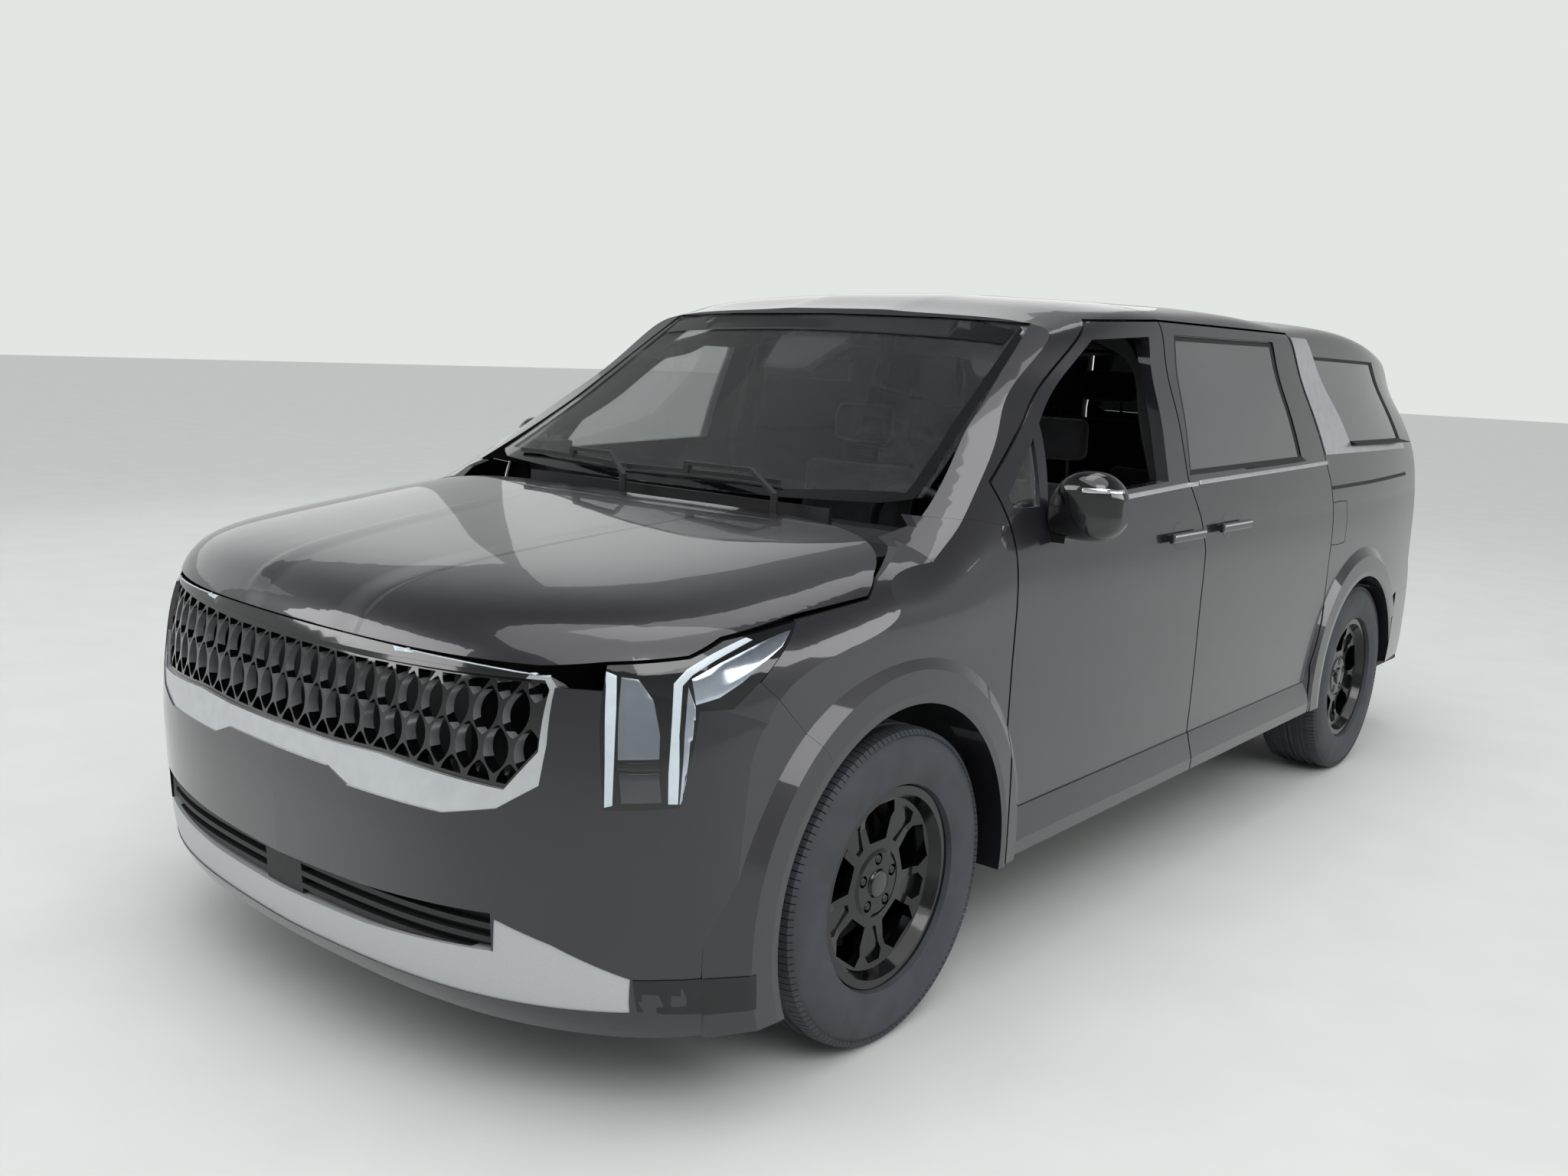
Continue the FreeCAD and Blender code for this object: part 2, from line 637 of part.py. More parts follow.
face_sheet = sheet_between(face_points, 3, 30)
surround = prism_y(surround_half, NOSE - 60, NOSE + 900).cut(prism_y(grille_half, NOSE - 70, NOSE + 910))
surround = largest(face_sheet.common(surround).common(flank(0)))
feature("grille_surround", surround.fuse(mirrored(surround)))
skid = largest(face_sheet.common(prism_y(skid_half, NOSE - 60, NOSE + 900)).common(flank(0)))
feature("skid_garnish", skid.fuse(mirrored(skid)))
garnish = face_sheet.common(prism_y([(0, 905.3), (700, 921.3), (785, 938), (785, 1000), (0, 1000)],
                                    NOSE - 60, NOSE + 900))
garnish = garnish.cut(prism_x(bonnet_side, -10, 1100)).common(flank(0))
garnish = largest(garnish.common(box(0, 784, NOSE - 60, NOSE + 900, 0, 934)))
feature("light_bar", garnish.fuse(mirrored(garnish)))

slats = [prism_y([(-626, z), (626, z), (626, z + 12), (-626, z + 12)], NOSE - 60,
                 NOSE + 900) for z in (362, 390, 418)]
slats.append(prism_y([(-70, 350), (70, 350), (70, 428), (-70, 428)], NOSE - 60, NOSE + 900))
lower_zone = prism_y(front_outline([(0, 429.7), (300, 437.7), (627.7, 456.7), (627.7, 378.3),
                                    (300, 352.3), (0, 345.3)]),
                     NOSE - 60,
                     NOSE + 900)
lower_bars = slats[0].fuse(slats[1:]).common(lower_zone)
lower_grille = sheet_between(face_points, 32, 45).common(lower_zone)
feature("lower_grille", largest(lower_grille.fuse(sheet_between(face_points, 12, 34).common(lower_bars))))

# Grille: two sets of curved bars that cross, so that pointed openings lie between them

grille_zone = prism_y(inset(front_outline(grille_half), seat_clearance), NOSE - 60, NOSE + 900)
leaf_zone = prism_y(inset(front_outline(grille_half), 8), NOSE - 60, NOSE + 900)
bar_pitch = number(size("bar_pitch", 62))
row_pitch = number(size("row_pitch", 70))
bar_width = number(size("bar_width", 11))
leaf_half = (bar_pitch - bar_width) / 2.0
leaf_tall = 0.66 * row_pitch


def leaf(x, z):
    """Pointed opening of two arcs, cut along the vehicle."""
    low, high = V(x, NOSE - 70, z - leaf_tall), V(x, NOSE - 70, z + leaf_tall)
    right = Part.Arc(low, V(x + leaf_half, NOSE - 70, z), high).toShape()
    left = Part.Arc(high, V(x - leaf_half, NOSE - 70, z), low).toShape()
    return Part.Face(Part.Wire([right, left])).extrude(V(0, 900, 0))


leaves = []
for row in range(5):
    height = 916 - row * row_pitch
    for column in range(13):
        middle = bar_pitch * (column + 0.5 * (row % 2))
        if middle > 710 or height < 640:
            continue
        leaves.append(leaf(middle, height).common(leaf_zone))
leaves = [item for item in leaves if item.Volume > 1e5]
plate = sheet_between(face_points, 12, 36).common(grille_zone).common(box(0, 1000, NOSE - 60, NOSE + 900,
                                                                          600, 960))
lattice = largest(plate.cut(leaves))
feature("grille", lattice.fuse(mirrored(lattice)))

# Tail: hatch, rear bumper and lamps

hatch_skin_inner = inner_hull(10)
rear_zone = hull.common(box(0, 1200, split_y, TAIL + 60, 0, 2000))
hatch_room = Part.makeCylinder(84, 2400, V(-1200, roof_rear - 51, 1628), V(1, 0, 0))
hatch_inset = [(x - HATCH_GAP if x > 0 else 0, z if z > 1700 else z + (HATCH_GAP if z < 700 else 0)) for x, z in hatch_half]
core_inset = [(x - 34 if x > 0 else 0, z if z > 1700 else z + (34 if z < 700 else 0)) for x,
              z in hatch_half]
rear_glass_half = [(0, 1608), (560, 1598), (660, 1330), (640, 1310), (0, 1296)]
glass_cut = prism_y(rear_glass_half, split_y, TAIL + 80)
hatch_skin = rear_zone.cut(hatch_skin_inner).common(prism_y(hatch_inset, hatch_front, TAIL + 80))
hatch_skin = largest(hatch_skin.cut([hatch_room, glass_cut]))
hatch_core = hatch_skin_inner.cut(rear_inner).common(prism_y(core_inset, hatch_front, TAIL + 80))
hatch_core = largest(hatch_core.cut([hatch_room, glass_cut]))
lamp_bar = [(0, 1128), (700, 1128), (700, 1186), (0, 1186)]
bar_half = hatch_skin.common(prism_y([(0, 1128.3), (699.7, 1128.3), (699.7, 1185.7), (0, 1185.7)],
                                     split_y, TAIL + 80))
bar_half = largest(bar_half)
feature("hatch_lamp", bar_half.fuse(mirrored(bar_half)))
plate_recess = prism_y([(0, 838), (176, 838), (176, 990), (0, 990)], split_y, TAIL + 80)
hatch_skin = largest(hatch_skin.cut([prism_y(lamp_bar, split_y, TAIL + 80), plate_recess]))
plate_spacing = number(size("plate_hole_spacing", 177.8))
plate_hole = rod(V(plate_spacing / 2.0, TAIL - 110, 938), V(plate_spacing / 2.0, TAIL + 60, 938), 3.2)
hatch_core = hatch_core.cut(plate_hole)

glass_sheet = sheet_between(tail_points, 2, 7)
rear_glass = prism_y(front_outline([(x - 0.5 if x > 0 else x, z + (0.5 if z < 1400 else -0.5)) for x,
                                    z in rear_glass_half]),
                     TAIL - 420, TAIL + 80)
feature("hatch_glass", largest(glass_sheet.common(rear_glass)))
bumper_top = bumper_height - 0.4
bumper_prism = prism_x([(y, min(z, bumper_top)) for y, z in shifted(rear_bumper_side, 2)], -1, 1200)
rear_bumper = rear_shell.common(bumper_prism)
side_bit = wall(0, 50).common(bumper_prism).common(box(0, 1200, -3000, split_y, 0, 2000))
side_bit = side_bit.fuse(flare_rear.common(bumper_prism)).cut([wells[1], under_cut])
rear_bumper = largest(rear_bumper.fuse(side_bit))
feature("rear_bumper", rear_bumper.fuse(mirrored(rear_bumper)))

# Running gear, as parametric bodies


def body(label):
    item = doc.addObject("PartDesign::Body", label)
    item.Label = label
    return item


def origin_plane(owner, role):
    return [item for item in owner.Origin.OriginFeatures if item.Role == role][0]


def bind(item, name, value):
    """Give a property its number, and the sheet expression behind it."""
    setattr(item, name, number(value))
    if isinstance(value, Size):
        item.setExpression(name, value.text)


def sketch(owner, name, role, points):
    """Closed outline of straight lines, each corner held by two dimensions."""
    drawn = owner.newObject("Sketcher::SketchObject", name)
    drawn.AttachmentSupport = (origin_plane(owner, role), [""])
    drawn.MapMode = "FlatFace"
    count = len(points)
    for i in range(count):
        start = V(number(points[i][0]), number(points[i][1]), 0)
        end = V(number(points[(i + 1) % count][0]), number(points[(i + 1) % count][1]), 0)
        drawn.addGeometry(Part.LineSegment(start, end), False)
    for i in range(count):
        drawn.addConstraint(Sketcher.Constraint("Coincident", i, 2, (i + 1) % count, 1))
    for i in range(count):
        for kind, value in zip(("DistanceX", "DistanceY"), points[i]):
            if abs(number(value)) < 1e-6:
                other = "PointOnObject"
                axis = -2 if kind == "DistanceX" else -1
                drawn.addConstraint(Sketcher.Constraint(other, i, 1, axis))
                continue
            index = drawn.addConstraint(Sketcher.Constraint(kind, -1, 1, i, 1, number(value)))
            if isinstance(value, Size):
                drawn.setExpression("Constraints[%d]" % index, value.text)
    return drawn


def turned(label, points):
    """Body of revolution about X: corners are (along the axis, radius)."""
    owner = body(label)
    drawn = sketch(owner, label + "_outline", "XY_Plane", points)
    turn = owner.newObject("PartDesign::Revolution", label + "_turn")
    turn.Profile = drawn
    turn.ReferenceAxis = (drawn, ["H_Axis"])
    turn.Angle = 360
    return owner


def padded(label, points, x0, x1):
    """Side view outline, (y, z), padded from x0 to x1."""
    owner = body(label)
    drawn = sketch(owner, label + "_outline", "YZ_Plane", points)
    drawn.AttachmentOffset = FreeCAD.Placement(V(0, 0, number(x0)), FreeCAD.Rotation())
    if isinstance(x0, Size):
        drawn.setExpression("AttachmentOffset.Base.z", x0.text)
    pad = owner.newObject("PartDesign::Pad", label + "_pad")
    pad.Profile = drawn
    bind(pad, "Length", x1 - x0)
    return owner


def place(item, x, y, z, turn=None):
    item.Placement = FreeCAD.Placement(V(number(x), number(y), number(z)), turn or FreeCAD.Rotation())
    for axis, value in zip("xyz", (x, y, z)):
        if isinstance(value, Size):
            item.setExpression("Placement.Base." + axis, value.text)


def block(label, x0, x1, y0, y1, z0, z1):
    item = doc.addObject("Part::Box", label)
    item.Label = label
    bind(item, "Length", x1 - x0)
    bind(item, "Width", y1 - y0)
    bind(item, "Height", z1 - z0)
    place(item, x0, y0, z0)
    return item


half_tyre = tyre_width / 2
rim_half = size("rim_half_width", 97)
bead = bead_radius + seat_clearance
bead_half = rim_half - 9 - seat_clearance
tyre_outline = [(-bead_half, bead), (bead_half, bead), (bead_half, rim_radius + 1),
                (half_tyre - 6, rim_radius + 7),
                (half_tyre, (wheel_radius + bead_radius) / 2), (half_tyre - 7, wheel_radius - 32),
                (half_tyre - 20, wheel_radius - 9), (half_tyre - 44, wheel_radius),
                (-(half_tyre - 44), wheel_radius),
                (-(half_tyre - 20), wheel_radius - 9), (-(half_tyre - 7), wheel_radius - 32),
                (-half_tyre, (wheel_radius + bead_radius) / 2), (-(half_tyre - 6), rim_radius + 7),
                (-bead_half, rim_radius + 1)]
disc_radius = size("disc_radius", 160)
hub_radius = size("hub_radius", 80)
cap_radius = size("cap_radius", 31)
window_count = 5
face_plane = 78
# Corners across and out from the hub: opening between two spokes, and the dish in each spoke
spoke_window = [(-30, 98), (30, 98), (56, 158), (44, 188), (-44, 188), (-56, 158)]
spoke_dish = [(-9, 104), (9, 104), (32, 166), (20, 186), (-20, 186), (-32, 166)]
nut_ring = size("nut_ring_radius", 57.15)
nut_recess = 14


def aside(points, degrees):
    c, d = math.cos(math.radians(degrees)), math.sin(math.radians(degrees))
    return [(x * c - z * d, x * d + z * c) for x, z in points]


def pockets(owner, name, points, depth):
    """Pocket from the wheel's face inwards, repeated round the axle."""
    drawn = sketch(owner, name + "_outline", "YZ_Plane", points)
    drawn.AttachmentOffset = FreeCAD.Placement(V(0, 0, face_plane), FreeCAD.Rotation())
    hollow = owner.newObject("PartDesign::Pocket", name)
    hollow.Profile = drawn
    hollow.Length = depth
    ring = owner.newObject("PartDesign::PolarPattern", name + "_ring")
    ring.Originals = [hollow]
    ring.Axis = (origin_plane(owner, "X_Axis"), [""])
    ring.Angle = 360
    ring.Occurrences = window_count
    owner.Tip = ring


rim_outline = [(-rim_half, bead_radius - 8), (-rim_half, rim_radius), (-(rim_half - 6), rim_radius),
               (-(rim_half - 9), bead_radius), (rim_half - 9, bead_radius), (rim_half - 6, rim_radius),
               (rim_half, rim_radius),
               (rim_half, bead_radius - 4), (70, bead_radius - 18), (58, hub_radius + 70),
               (62, hub_radius),
               (66, hub_radius - 10), (66, cap_radius + 3), (70, cap_radius), (70, 0), (46, 0),
               (46, hub_bore + running_clearance), (-54, hub_bore + running_clearance),
               (-54, disc_radius), (-28, disc_radius), (-28, hub_radius), (42, hub_radius),
               (44, bead_radius - 36),
               (40, bead_radius - 14), (-(rim_half - 24), bead_radius - 8)]
for side, sign in (("left", 1), ("right", -1)):
    for end, axle_y in (("front", front_axle), ("rear", rear_axle_y)):
        face_out = FreeCAD.Rotation(V(0, 0, 1), 0 if sign > 0 else 180)
        for kind, profile in (("tyre", tyre_outline), ("rim", rim_outline)):
            label = "%s_%s_%s" % (kind, end, side)
            part = turned(label, profile)
            if kind == "rim":
                pockets(part, label + "_window", spoke_window, face_plane - 34)
                pockets(part, label + "_dish", aside(spoke_dish, 180.0 / window_count), face_plane - 55)
                corner = [(nut_recess * math.cos(math.radians(a)),
                           number(nut_ring) + nut_recess * math.sin(math.radians(a)))
                          for a in range(0, 360, 30)]
                pockets(part, label + "_nut", corner, face_plane - 50)
            place(part, wheel_x if sign > 0 else -wheel_x, axle_y, wheel_radius, face_out)
            nodes[label] = part

HUB = number(hub_bore)
WHEEL_X = number(wheel_x)
lean = math.tan(math.radians(number(kingpin_angle)))
PIN = number(kingpin_radius)


def kingpin(z):
    """A point on the left kingpin's axis."""
    return V(WHEEL_X - number(kingpin_inset) - lean * (z - HUB_Z), FRONT_Y, z)


spindle = rod(V(WHEEL_X - 72, FRONT_Y, HUB_Z), V(WHEEL_X + 40, FRONT_Y, HUB_Z), HUB)
upright = box(WHEEL_X - 130, WHEEL_X - 66, FRONT_Y - 45, FRONT_Y + 45, HUB_Z - 80, HUB_Z + 120)
lower_eye = rod(kingpin(212), kingpin(262), PIN + 8)
strut = rod(kingpin(440), kingpin(800), 24)
spring_seat = rod(kingpin(742), kingpin(752), 62)
spring = rod(kingpin(751), kingpin(838), 52)
top_rod = rod(kingpin(837), kingpin(895), PIN)
link = box(WHEEL_X - 126, WHEEL_X - 96, FRONT_Y - 30, FRONT_Y + 30, 420, 520)
neck = box(WHEEL_X - 130, WHEEL_X - 80, FRONT_Y - 26, FRONT_Y + 26, 240, 300)
caliper = box(WHEEL_X - 100, WHEEL_X - 8, FRONT_Y + 96, FRONT_Y + 168, HUB_Z - 50, HUB_Z + 50)
caliper = caliper.cut(rod(V(WHEEL_X - 59, FRONT_Y, HUB_Z), V(WHEEL_X - 23, FRONT_Y, HUB_Z),
                          number(disc_radius) + 4))
caliper_arm = box(WHEEL_X - 100, WHEEL_X - 66, FRONT_Y + 30, FRONT_Y + 110, HUB_Z - 20, HUB_Z + 20)
knuckle = spindle.fuse([upright, lower_eye, strut, spring_seat, spring, top_rod, link, neck, caliper,
                        caliper_arm])
knuckle = knuckle.cut(rod(kingpin(195), kingpin(245), PIN + 0.05))
feature("knuckle_left", knuckle)
feature("knuckle_right", mirrored(knuckle))

arm_end = kingpin(200)
lower_arm = prism_z([(arm_end.x + 30, FRONT_Y - 30), (arm_end.x + 30, FRONT_Y + 30), (380, FRONT_Y + 160),
                     (380, FRONT_Y - 100)],
                    174, 196)
joint_pin = rod(kingpin(184), kingpin(240), PIN)
cross_member = box(-400, 400, FRONT_Y - 160, FRONT_Y + 200, 178, 250)
subframe = cross_member.fuse([lower_arm, mirrored(lower_arm), joint_pin, mirrored(joint_pin)])
rail_leg = box(430, 490, FRONT_Y - 60, FRONT_Y + 60, 240, 452)
rail_foot = box(380, 490, FRONT_Y - 60, FRONT_Y + 60, 200, 250)
subframe = subframe.fuse([rail_leg, mirrored(rail_leg), rail_foot, mirrored(rail_foot)])
feature("front_subframe", subframe)

rail = box(430, 505, NOSE + 130, SEAM_FRONT - 60, 452, 560)
tower = rod(kingpin(700), kingpin(884), 92).cut(rod(kingpin(690), kingpin(872), 84))
tower = tower.cut(rod(kingpin(860), kingpin(890), PIN + 0.05))
liner = Part.makeCylinder(well_front + 12, 375, V(525, FRONT_Y, HUB_Z), V(1, 0, 0))
liner = liner.cut(Part.makeCylinder(well_front + 4, 375, V(525, FRONT_Y, HUB_Z), V(1, 0, 0)))
liner = liner.common(prism_x([(FRONT_Y, HUB_Z), (FRONT_Y - 500, HUB_Z - 60), (FRONT_Y - 500, 900),
                              (FRONT_Y + 500, 900),
                              (FRONT_Y + 500, HUB_Z - 20)], 500, 925))
liner = liner.cut(rod(kingpin(600), kingpin(900), 86))
inner_wall = prism_x([(FRONT_Y - 400, 452), (FRONT_Y - 400, 880), (FRONT_Y + 400, 880),
                      (FRONT_Y + 400, 452)], 505, 524)
tower = tower.cut(Part.makeCylinder(well_front + 4, 600, V(400, FRONT_Y, HUB_Z), V(1, 0, 0)))
shelf = prism_z([(505, FRONT_Y - 110), (505, FRONT_Y + 110), (700, FRONT_Y + 90), (700, FRONT_Y - 90)],
                800, 812)
shelf = shelf.cut(rod(kingpin(760), kingpin(860), 86))
structure = rail.fuse([inner_wall, liner, tower, shelf])
nose_beam = box(-520, 520, NOSE + 112, NOSE + 131, 440, 560)
structure = structure.fuse(mirrored(structure)).fuse(nose_beam)
feature("front_structure", structure)

# Floor, bulkhead and the heavy pieces under the body

floor_top = 305.7
floor_low = floor_top - number(floor_thickness)
hump = [(FRONT_Y + 436.5, 0), (REAR_Y - 470, 0), (REAR_Y - 400, 150), (REAR_Y + 440, 150),
        (REAR_Y + 490, 0), (TAIL - 170, 0)]
floor_line = [(y, floor_low + rise) for y, rise in hump]
floor_line += [(y, floor_top + rise) for y, rise in reversed(hump)]
floor = prism_x(floor_line, -872, 872)
side_room = box(822, 1000, REAR_Y - 480, TAIL, floor_top + 0.1, 900)
floor = floor.cut([wells[1], mirrored(wells[1]), side_room, mirrored(side_room)])
cover = Part.makeCylinder(well_rear + 9, 204, V(640, REAR_Y, HUB_Z), V(1, 0, 0))
cover = cover.cut(Part.makeCylinder(well_rear + 2, 196, V(652, REAR_Y, HUB_Z), V(1, 0, 0)))
cover = cover.common(box(600, 900, REAR_Y - 500, REAR_Y + 500, floor_low + 160, 900))
pads = [box(680, 780, y - 50, y + 50, floor_low - 26, floor_low + 1) for y in (SEAM_FRONT + 260,
                                                                               SEAM_REAR - 240)]
floor = floor.fuse([cover, mirrored(cover)] + pads + [mirrored(pad) for pad in pads])
feature("floor_pan", floor)

wall_y = SEAM_FRONT - 18
firewall = box(-745, 745, wall_y, wall_y + 14, floor_top, 1050)
post = box(735, 815, wall_y, hinge_y + 12, floor_top, 1226)
firewall = firewall.fuse([post, mirrored(post)])
cowl_line = [(COWL - 80, 1055), (COWL + 98, 1055), (COWL + 98, 1160), (COWL + 86, 1160),
             (COWL + 86, 1067), (COWL - 80, 1067)]
cowl = prism_x(cowl_line, -560, 560).fuse(prism_x([(COWL - 80, 1055), (COWL + 98, 1055),
                                                   (COWL + 98, 1067), (COWL - 80, 1067)],
                                                  -738, 738))
cowl_back = box(-738, 738, COWL + 84, wall_y + 14, 1038, 1056)
slot = box(554, 570, COWL - 52, COWL - 8, 1040, 1100)
firewall = firewall.fuse([cowl, cowl_back]).cut([slot, mirrored(slot)])
hinge_heights = (795, 1000)
for z in hinge_heights:
    arm = box(810, hinge_x, hinge_y - 6, hinge_y + 6, z - 14, z + 14)
    eye = rod(V(hinge_x, hinge_y, z - 14), V(hinge_x, hinge_y, z + 14), 8)
    hole = rod(V(hinge_x, hinge_y, z - 20), V(hinge_x, hinge_y, z + 20), 5.05)
    lug = arm.fuse(eye).cut(hole)
    firewall = firewall.fuse([lug, mirrored(lug)])
feature("bulkhead", firewall)
frame_post = box(700, 815.3, wall_y - 2, hinge_y + 12.3, 0, 1238.3)
frame = largest(frame.cut(frame_post))
nodes["side_frames"].Shape = both(frame)

hinge_parts = []
for z in hinge_heights:
    hinge_parts.append(rod(V(hinge_x, hinge_y, z - 36), V(hinge_x, hinge_y, z + 36), 5))
    for low in (z - 36, z + 14.5):
        hinge_parts.append(rod(V(hinge_x, hinge_y, low), V(hinge_x, hinge_y, low + 21.5), 8))
        hinge_parts.append(box(hinge_x - 8, hinge_x + 6, hinge_y, hinge_y + 24, low, low + 21.5))
door_core = front_core.fuse(hinge_parts)
for side in ("left", "right"):
    turn = (lambda shape: shape) if side == "left" else mirrored
    feature("front_door_" + side, Part.makeCompound([turn(front_skin), turn(door_core)]))
feature("sliding_doors", Part.makeCompound([sliding_skin, sliding_core, mirrored(sliding_skin),
                                            mirrored(sliding_core)]))
feature("door_glass_left", light_pane)
feature("door_glass_right", Part.makeCompound([mirrored(light_pane), mirrored(front_pane)]))
feature("side_glass", Part.makeCompound([sliding_pane, rear_pane, mirrored(sliding_pane),
                                         mirrored(rear_pane)]))

# Along the vehicle and up: middle and half sizes of the mirror's sections, from the door outwards
mirror_y = SEAM_FRONT + 200
mirror_sections = [(940, -8, 1150, 26, 30), (958, -4, 1174, 46, 62), (990, 0, 1188, 58, 82),
                   (1040, 2, 1193, 62, 88),
                   (1085, 8, 1191, 57, 80), (1112, 18, 1187, 40, 58), (1124, 26, 1184, 20, 32)]


def mirror_ring(x, shift, z, deep, tall):
    points = []
    for angle in range(0, 360, 45):
        c, d = math.cos(math.radians(angle)), math.sin(math.radians(angle))
        points.append(V(x, mirror_y + shift + deep * (abs(c) ** 0.7) * (1 if c >= 0 else -1),
                        z + tall * (abs(d) ** 0.7) * (1 if d >= 0 else -1)))
    curve = Part.BSplineCurve()
    curve.interpolate(Points=points, PeriodicFlag=True)
    return Part.Wire(curve.toShape())


mirror_shell = Part.makeLoft([mirror_ring(*section) for section in mirror_sections], True, False)
mirror_shell = mirror_shell.cut(box(900, 1200, mirror_y + 40, mirror_y + 200, 1000, 1400))
mirror_foot = prism_x([(mirror_y - 34, 1096), (mirror_y + 30, 1100), (mirror_y + 26, 1160),
                       (mirror_y - 26, 1160)], 925, 995)
mirror_foot = mirror_foot.cut(Part.Solid(flank(-0.4)))
mirror = mirror_shell.cut(Part.Solid(flank(-0.4))).fuse(mirror_foot)
feature("mirror_left", largest(mirror))
feature("mirror_right", mirrored(largest(mirror)))

# Bonnet with its hinges

bonnet_axis = V(0, COWL - 30, 1108)
for sign in (1, -1):
    ear = box(569, 577, bonnet_axis.y - 9, bonnet_axis.y + 9, 1108, 1136)
    ear = ear.fuse(rod(V(569, bonnet_axis.y, 1108), V(577, bonnet_axis.y, 1108), 9))
    ear = ear.fuse([rod(V(547, bonnet_axis.y, 1108), V(577, bonnet_axis.y, 1108), 5)])
    second = box(547, 555, bonnet_axis.y - 9, bonnet_axis.y + 9, 1108, 1136)
    second = second.fuse(rod(V(547, bonnet_axis.y, 1108), V(555, bonnet_axis.y, 1108), 9))
    ear = ear.fuse(second)
    bonnet_skin = bonnet_skin.fuse(ear if sign > 0 else mirrored(ear))
feature("bonnet", bonnet_skin)
bracket = box(555.5, 568.5, bonnet_axis.y - 20, bonnet_axis.y + 20, 868, 1100)
bracket = bracket.fuse([rod(V(555.5, bonnet_axis.y, 1108), V(568.5, bonnet_axis.y, 1108), 9),
                        box(555.5, 568.5, bonnet_axis.y - 9, bonnet_axis.y + 9, 1095, 1108),
                        box(515, 568.5, bonnet_axis.y - 20, bonnet_axis.y + 20, 862, 880)])
bracket = bracket.cut(rod(V(500, bonnet_axis.y, 1108), V(600, bonnet_axis.y, 1108), 5.05))
bracket = bracket.cut(Part.makeCylinder(well_front + 4, 600, V(400, FRONT_Y, HUB_Z), V(1, 0, 0)))
structure = structure.fuse([bracket, mirrored(bracket)])
nodes["front_structure"].Shape = structure

# Hatch with its hinges

axis_y = roof_rear - 51
axis_z = 1628
arm_points = [(-8, -6), (-5, 7), (6, 6), (21, -59), (97, -51), (98, 14), (122, 14), (118, -74), (12, -79)]
neck = prism_x([(axis_y + y, axis_z + z) for y, z in arm_points], 313, 325)
neck = neck.fuse([rod(V(313, axis_y, axis_z), V(325, axis_y, axis_z), 9),
                  rod(V(296, axis_y, axis_z), V(325, axis_y, axis_z), 5)])
hatch_solids = [hatch_skin.fuse(mirrored(hatch_skin)),
                hatch_core.fuse(mirrored(hatch_core)).fuse([neck, mirrored(neck)])]
feature("hatch", Part.makeCompound(hatch_solids))
hanger = box(299, 312, axis_y - 9, axis_y + 9, axis_z, axis_z + 34)
hanger = hanger.fuse(rod(V(299, axis_y, axis_z), V(312, axis_y, axis_z), 9))
hanger = hanger.cut(rod(V(290, axis_y, axis_z), V(320, axis_y, axis_z), 5.05))
roof = nodes["roof_panel"].Shape.fuse([hanger, mirrored(hanger)])
nodes["roof_panel"].Shape = roof

# Wipers at the foot of the windscreen

outer_glass = sheet_between(screen_points, 5, 10)


def on_glass(x, y, lift):
    line = Part.makeLine(V(x, y, 1000), V(x, y, 1600)).common(outer_glass)
    return V(x, y, max(v.Point.z for v in line.Vertexes) + lift)


def strip(points, half_width, half_depth):
    """Flat bar from point to point."""
    rings = []
    for p in points:
        corners = [V(p.x, p.y + a * half_width, p.z + b * half_depth) for a,
                   b in ((-1, -1), (1, -1), (1, 1), (-1, 1))]
        rings.append(Part.makePolygon(corners + corners[:1]))
    return Part.makeLoft(rings, True, True)


# Pivot, then both ends of the blade: across the vehicle and behind the foot of the windscreen
wiper_pair = []
for pivot_x, start, end in ((430, (395, 92), (-235, 76)), (-110, (-135, 76), (-640, 118))):
    along = [(start[0] + (end[0] - start[0]) * k / 4.0,
              start[1] + (end[1] - start[1]) * k / 4.0) for k in range(5)]
    blade = strip([on_glass(x, COWL + y, 12) for x, y in along], 5, 6)
    boss = rod(V(pivot_x, COWL + 30, 1067.3), V(pivot_x, COWL + 30, 1190), 10)
    rest = on_glass(along[2][0], COWL + along[2][1], 34)
    bend = V(pivot_x * 0.7 + rest.x * 0.3, COWL + 62, rest.z + 3)
    arm = strip([V(pivot_x + 7, COWL + 30, 1182), bend, V(rest.x - 7, rest.y, rest.z)], 8, 5)
    middle = on_glass(along[2][0], COWL + along[2][1], 12)
    clip = box(middle.x - 9, middle.x + 9, middle.y - 8, middle.y + 8, middle.z - 3, rest.z)
    wiper_pair.append(blade.fuse(clip).fuse(boss.fuse(arm)))
feature("wipers", Part.makeCompound(wiper_pair))

# Rear axle

spindle = rod(V(WHEEL_X - 72, REAR_Y, HUB_Z), V(WHEEL_X + 40, REAR_Y, HUB_Z), HUB)
carrier = box(WHEEL_X - 130, WHEEL_X - 66, REAR_Y - 50, REAR_Y + 50, HUB_Z - 90, HUB_Z + 60)
rear_caliper = box(WHEEL_X - 100, WHEEL_X - 8, REAR_Y - 168, REAR_Y - 96, HUB_Z - 45, HUB_Z + 45)
rear_caliper = rear_caliper.cut(rod(V(WHEEL_X - 59, REAR_Y, HUB_Z), V(WHEEL_X - 23, REAR_Y, HUB_Z),
                                    number(disc_radius) + 4))
rear_arm = box(WHEEL_X - 100, WHEEL_X - 66, REAR_Y - 110, REAR_Y - 40, HUB_Z - 20, HUB_Z + 20)
trail = prism_x([(REAR_Y, HUB_Z + 20), (REAR_Y - 320, HUB_Z + 10), (REAR_Y - 320, 439.4),
                 (REAR_Y - 390, 439.4),
                 (REAR_Y - 390, HUB_Z - 40), (REAR_Y, HUB_Z - 30)], 560, 610)
spring = rod(V(500, REAR_Y, HUB_Z), V(500, REAR_Y, 439.4), 52)
half_axle = spindle.fuse([carrier, rear_caliper, rear_arm, trail, spring])
beam = rod(V(-735, REAR_Y, HUB_Z), V(735, REAR_Y, HUB_Z), 38)
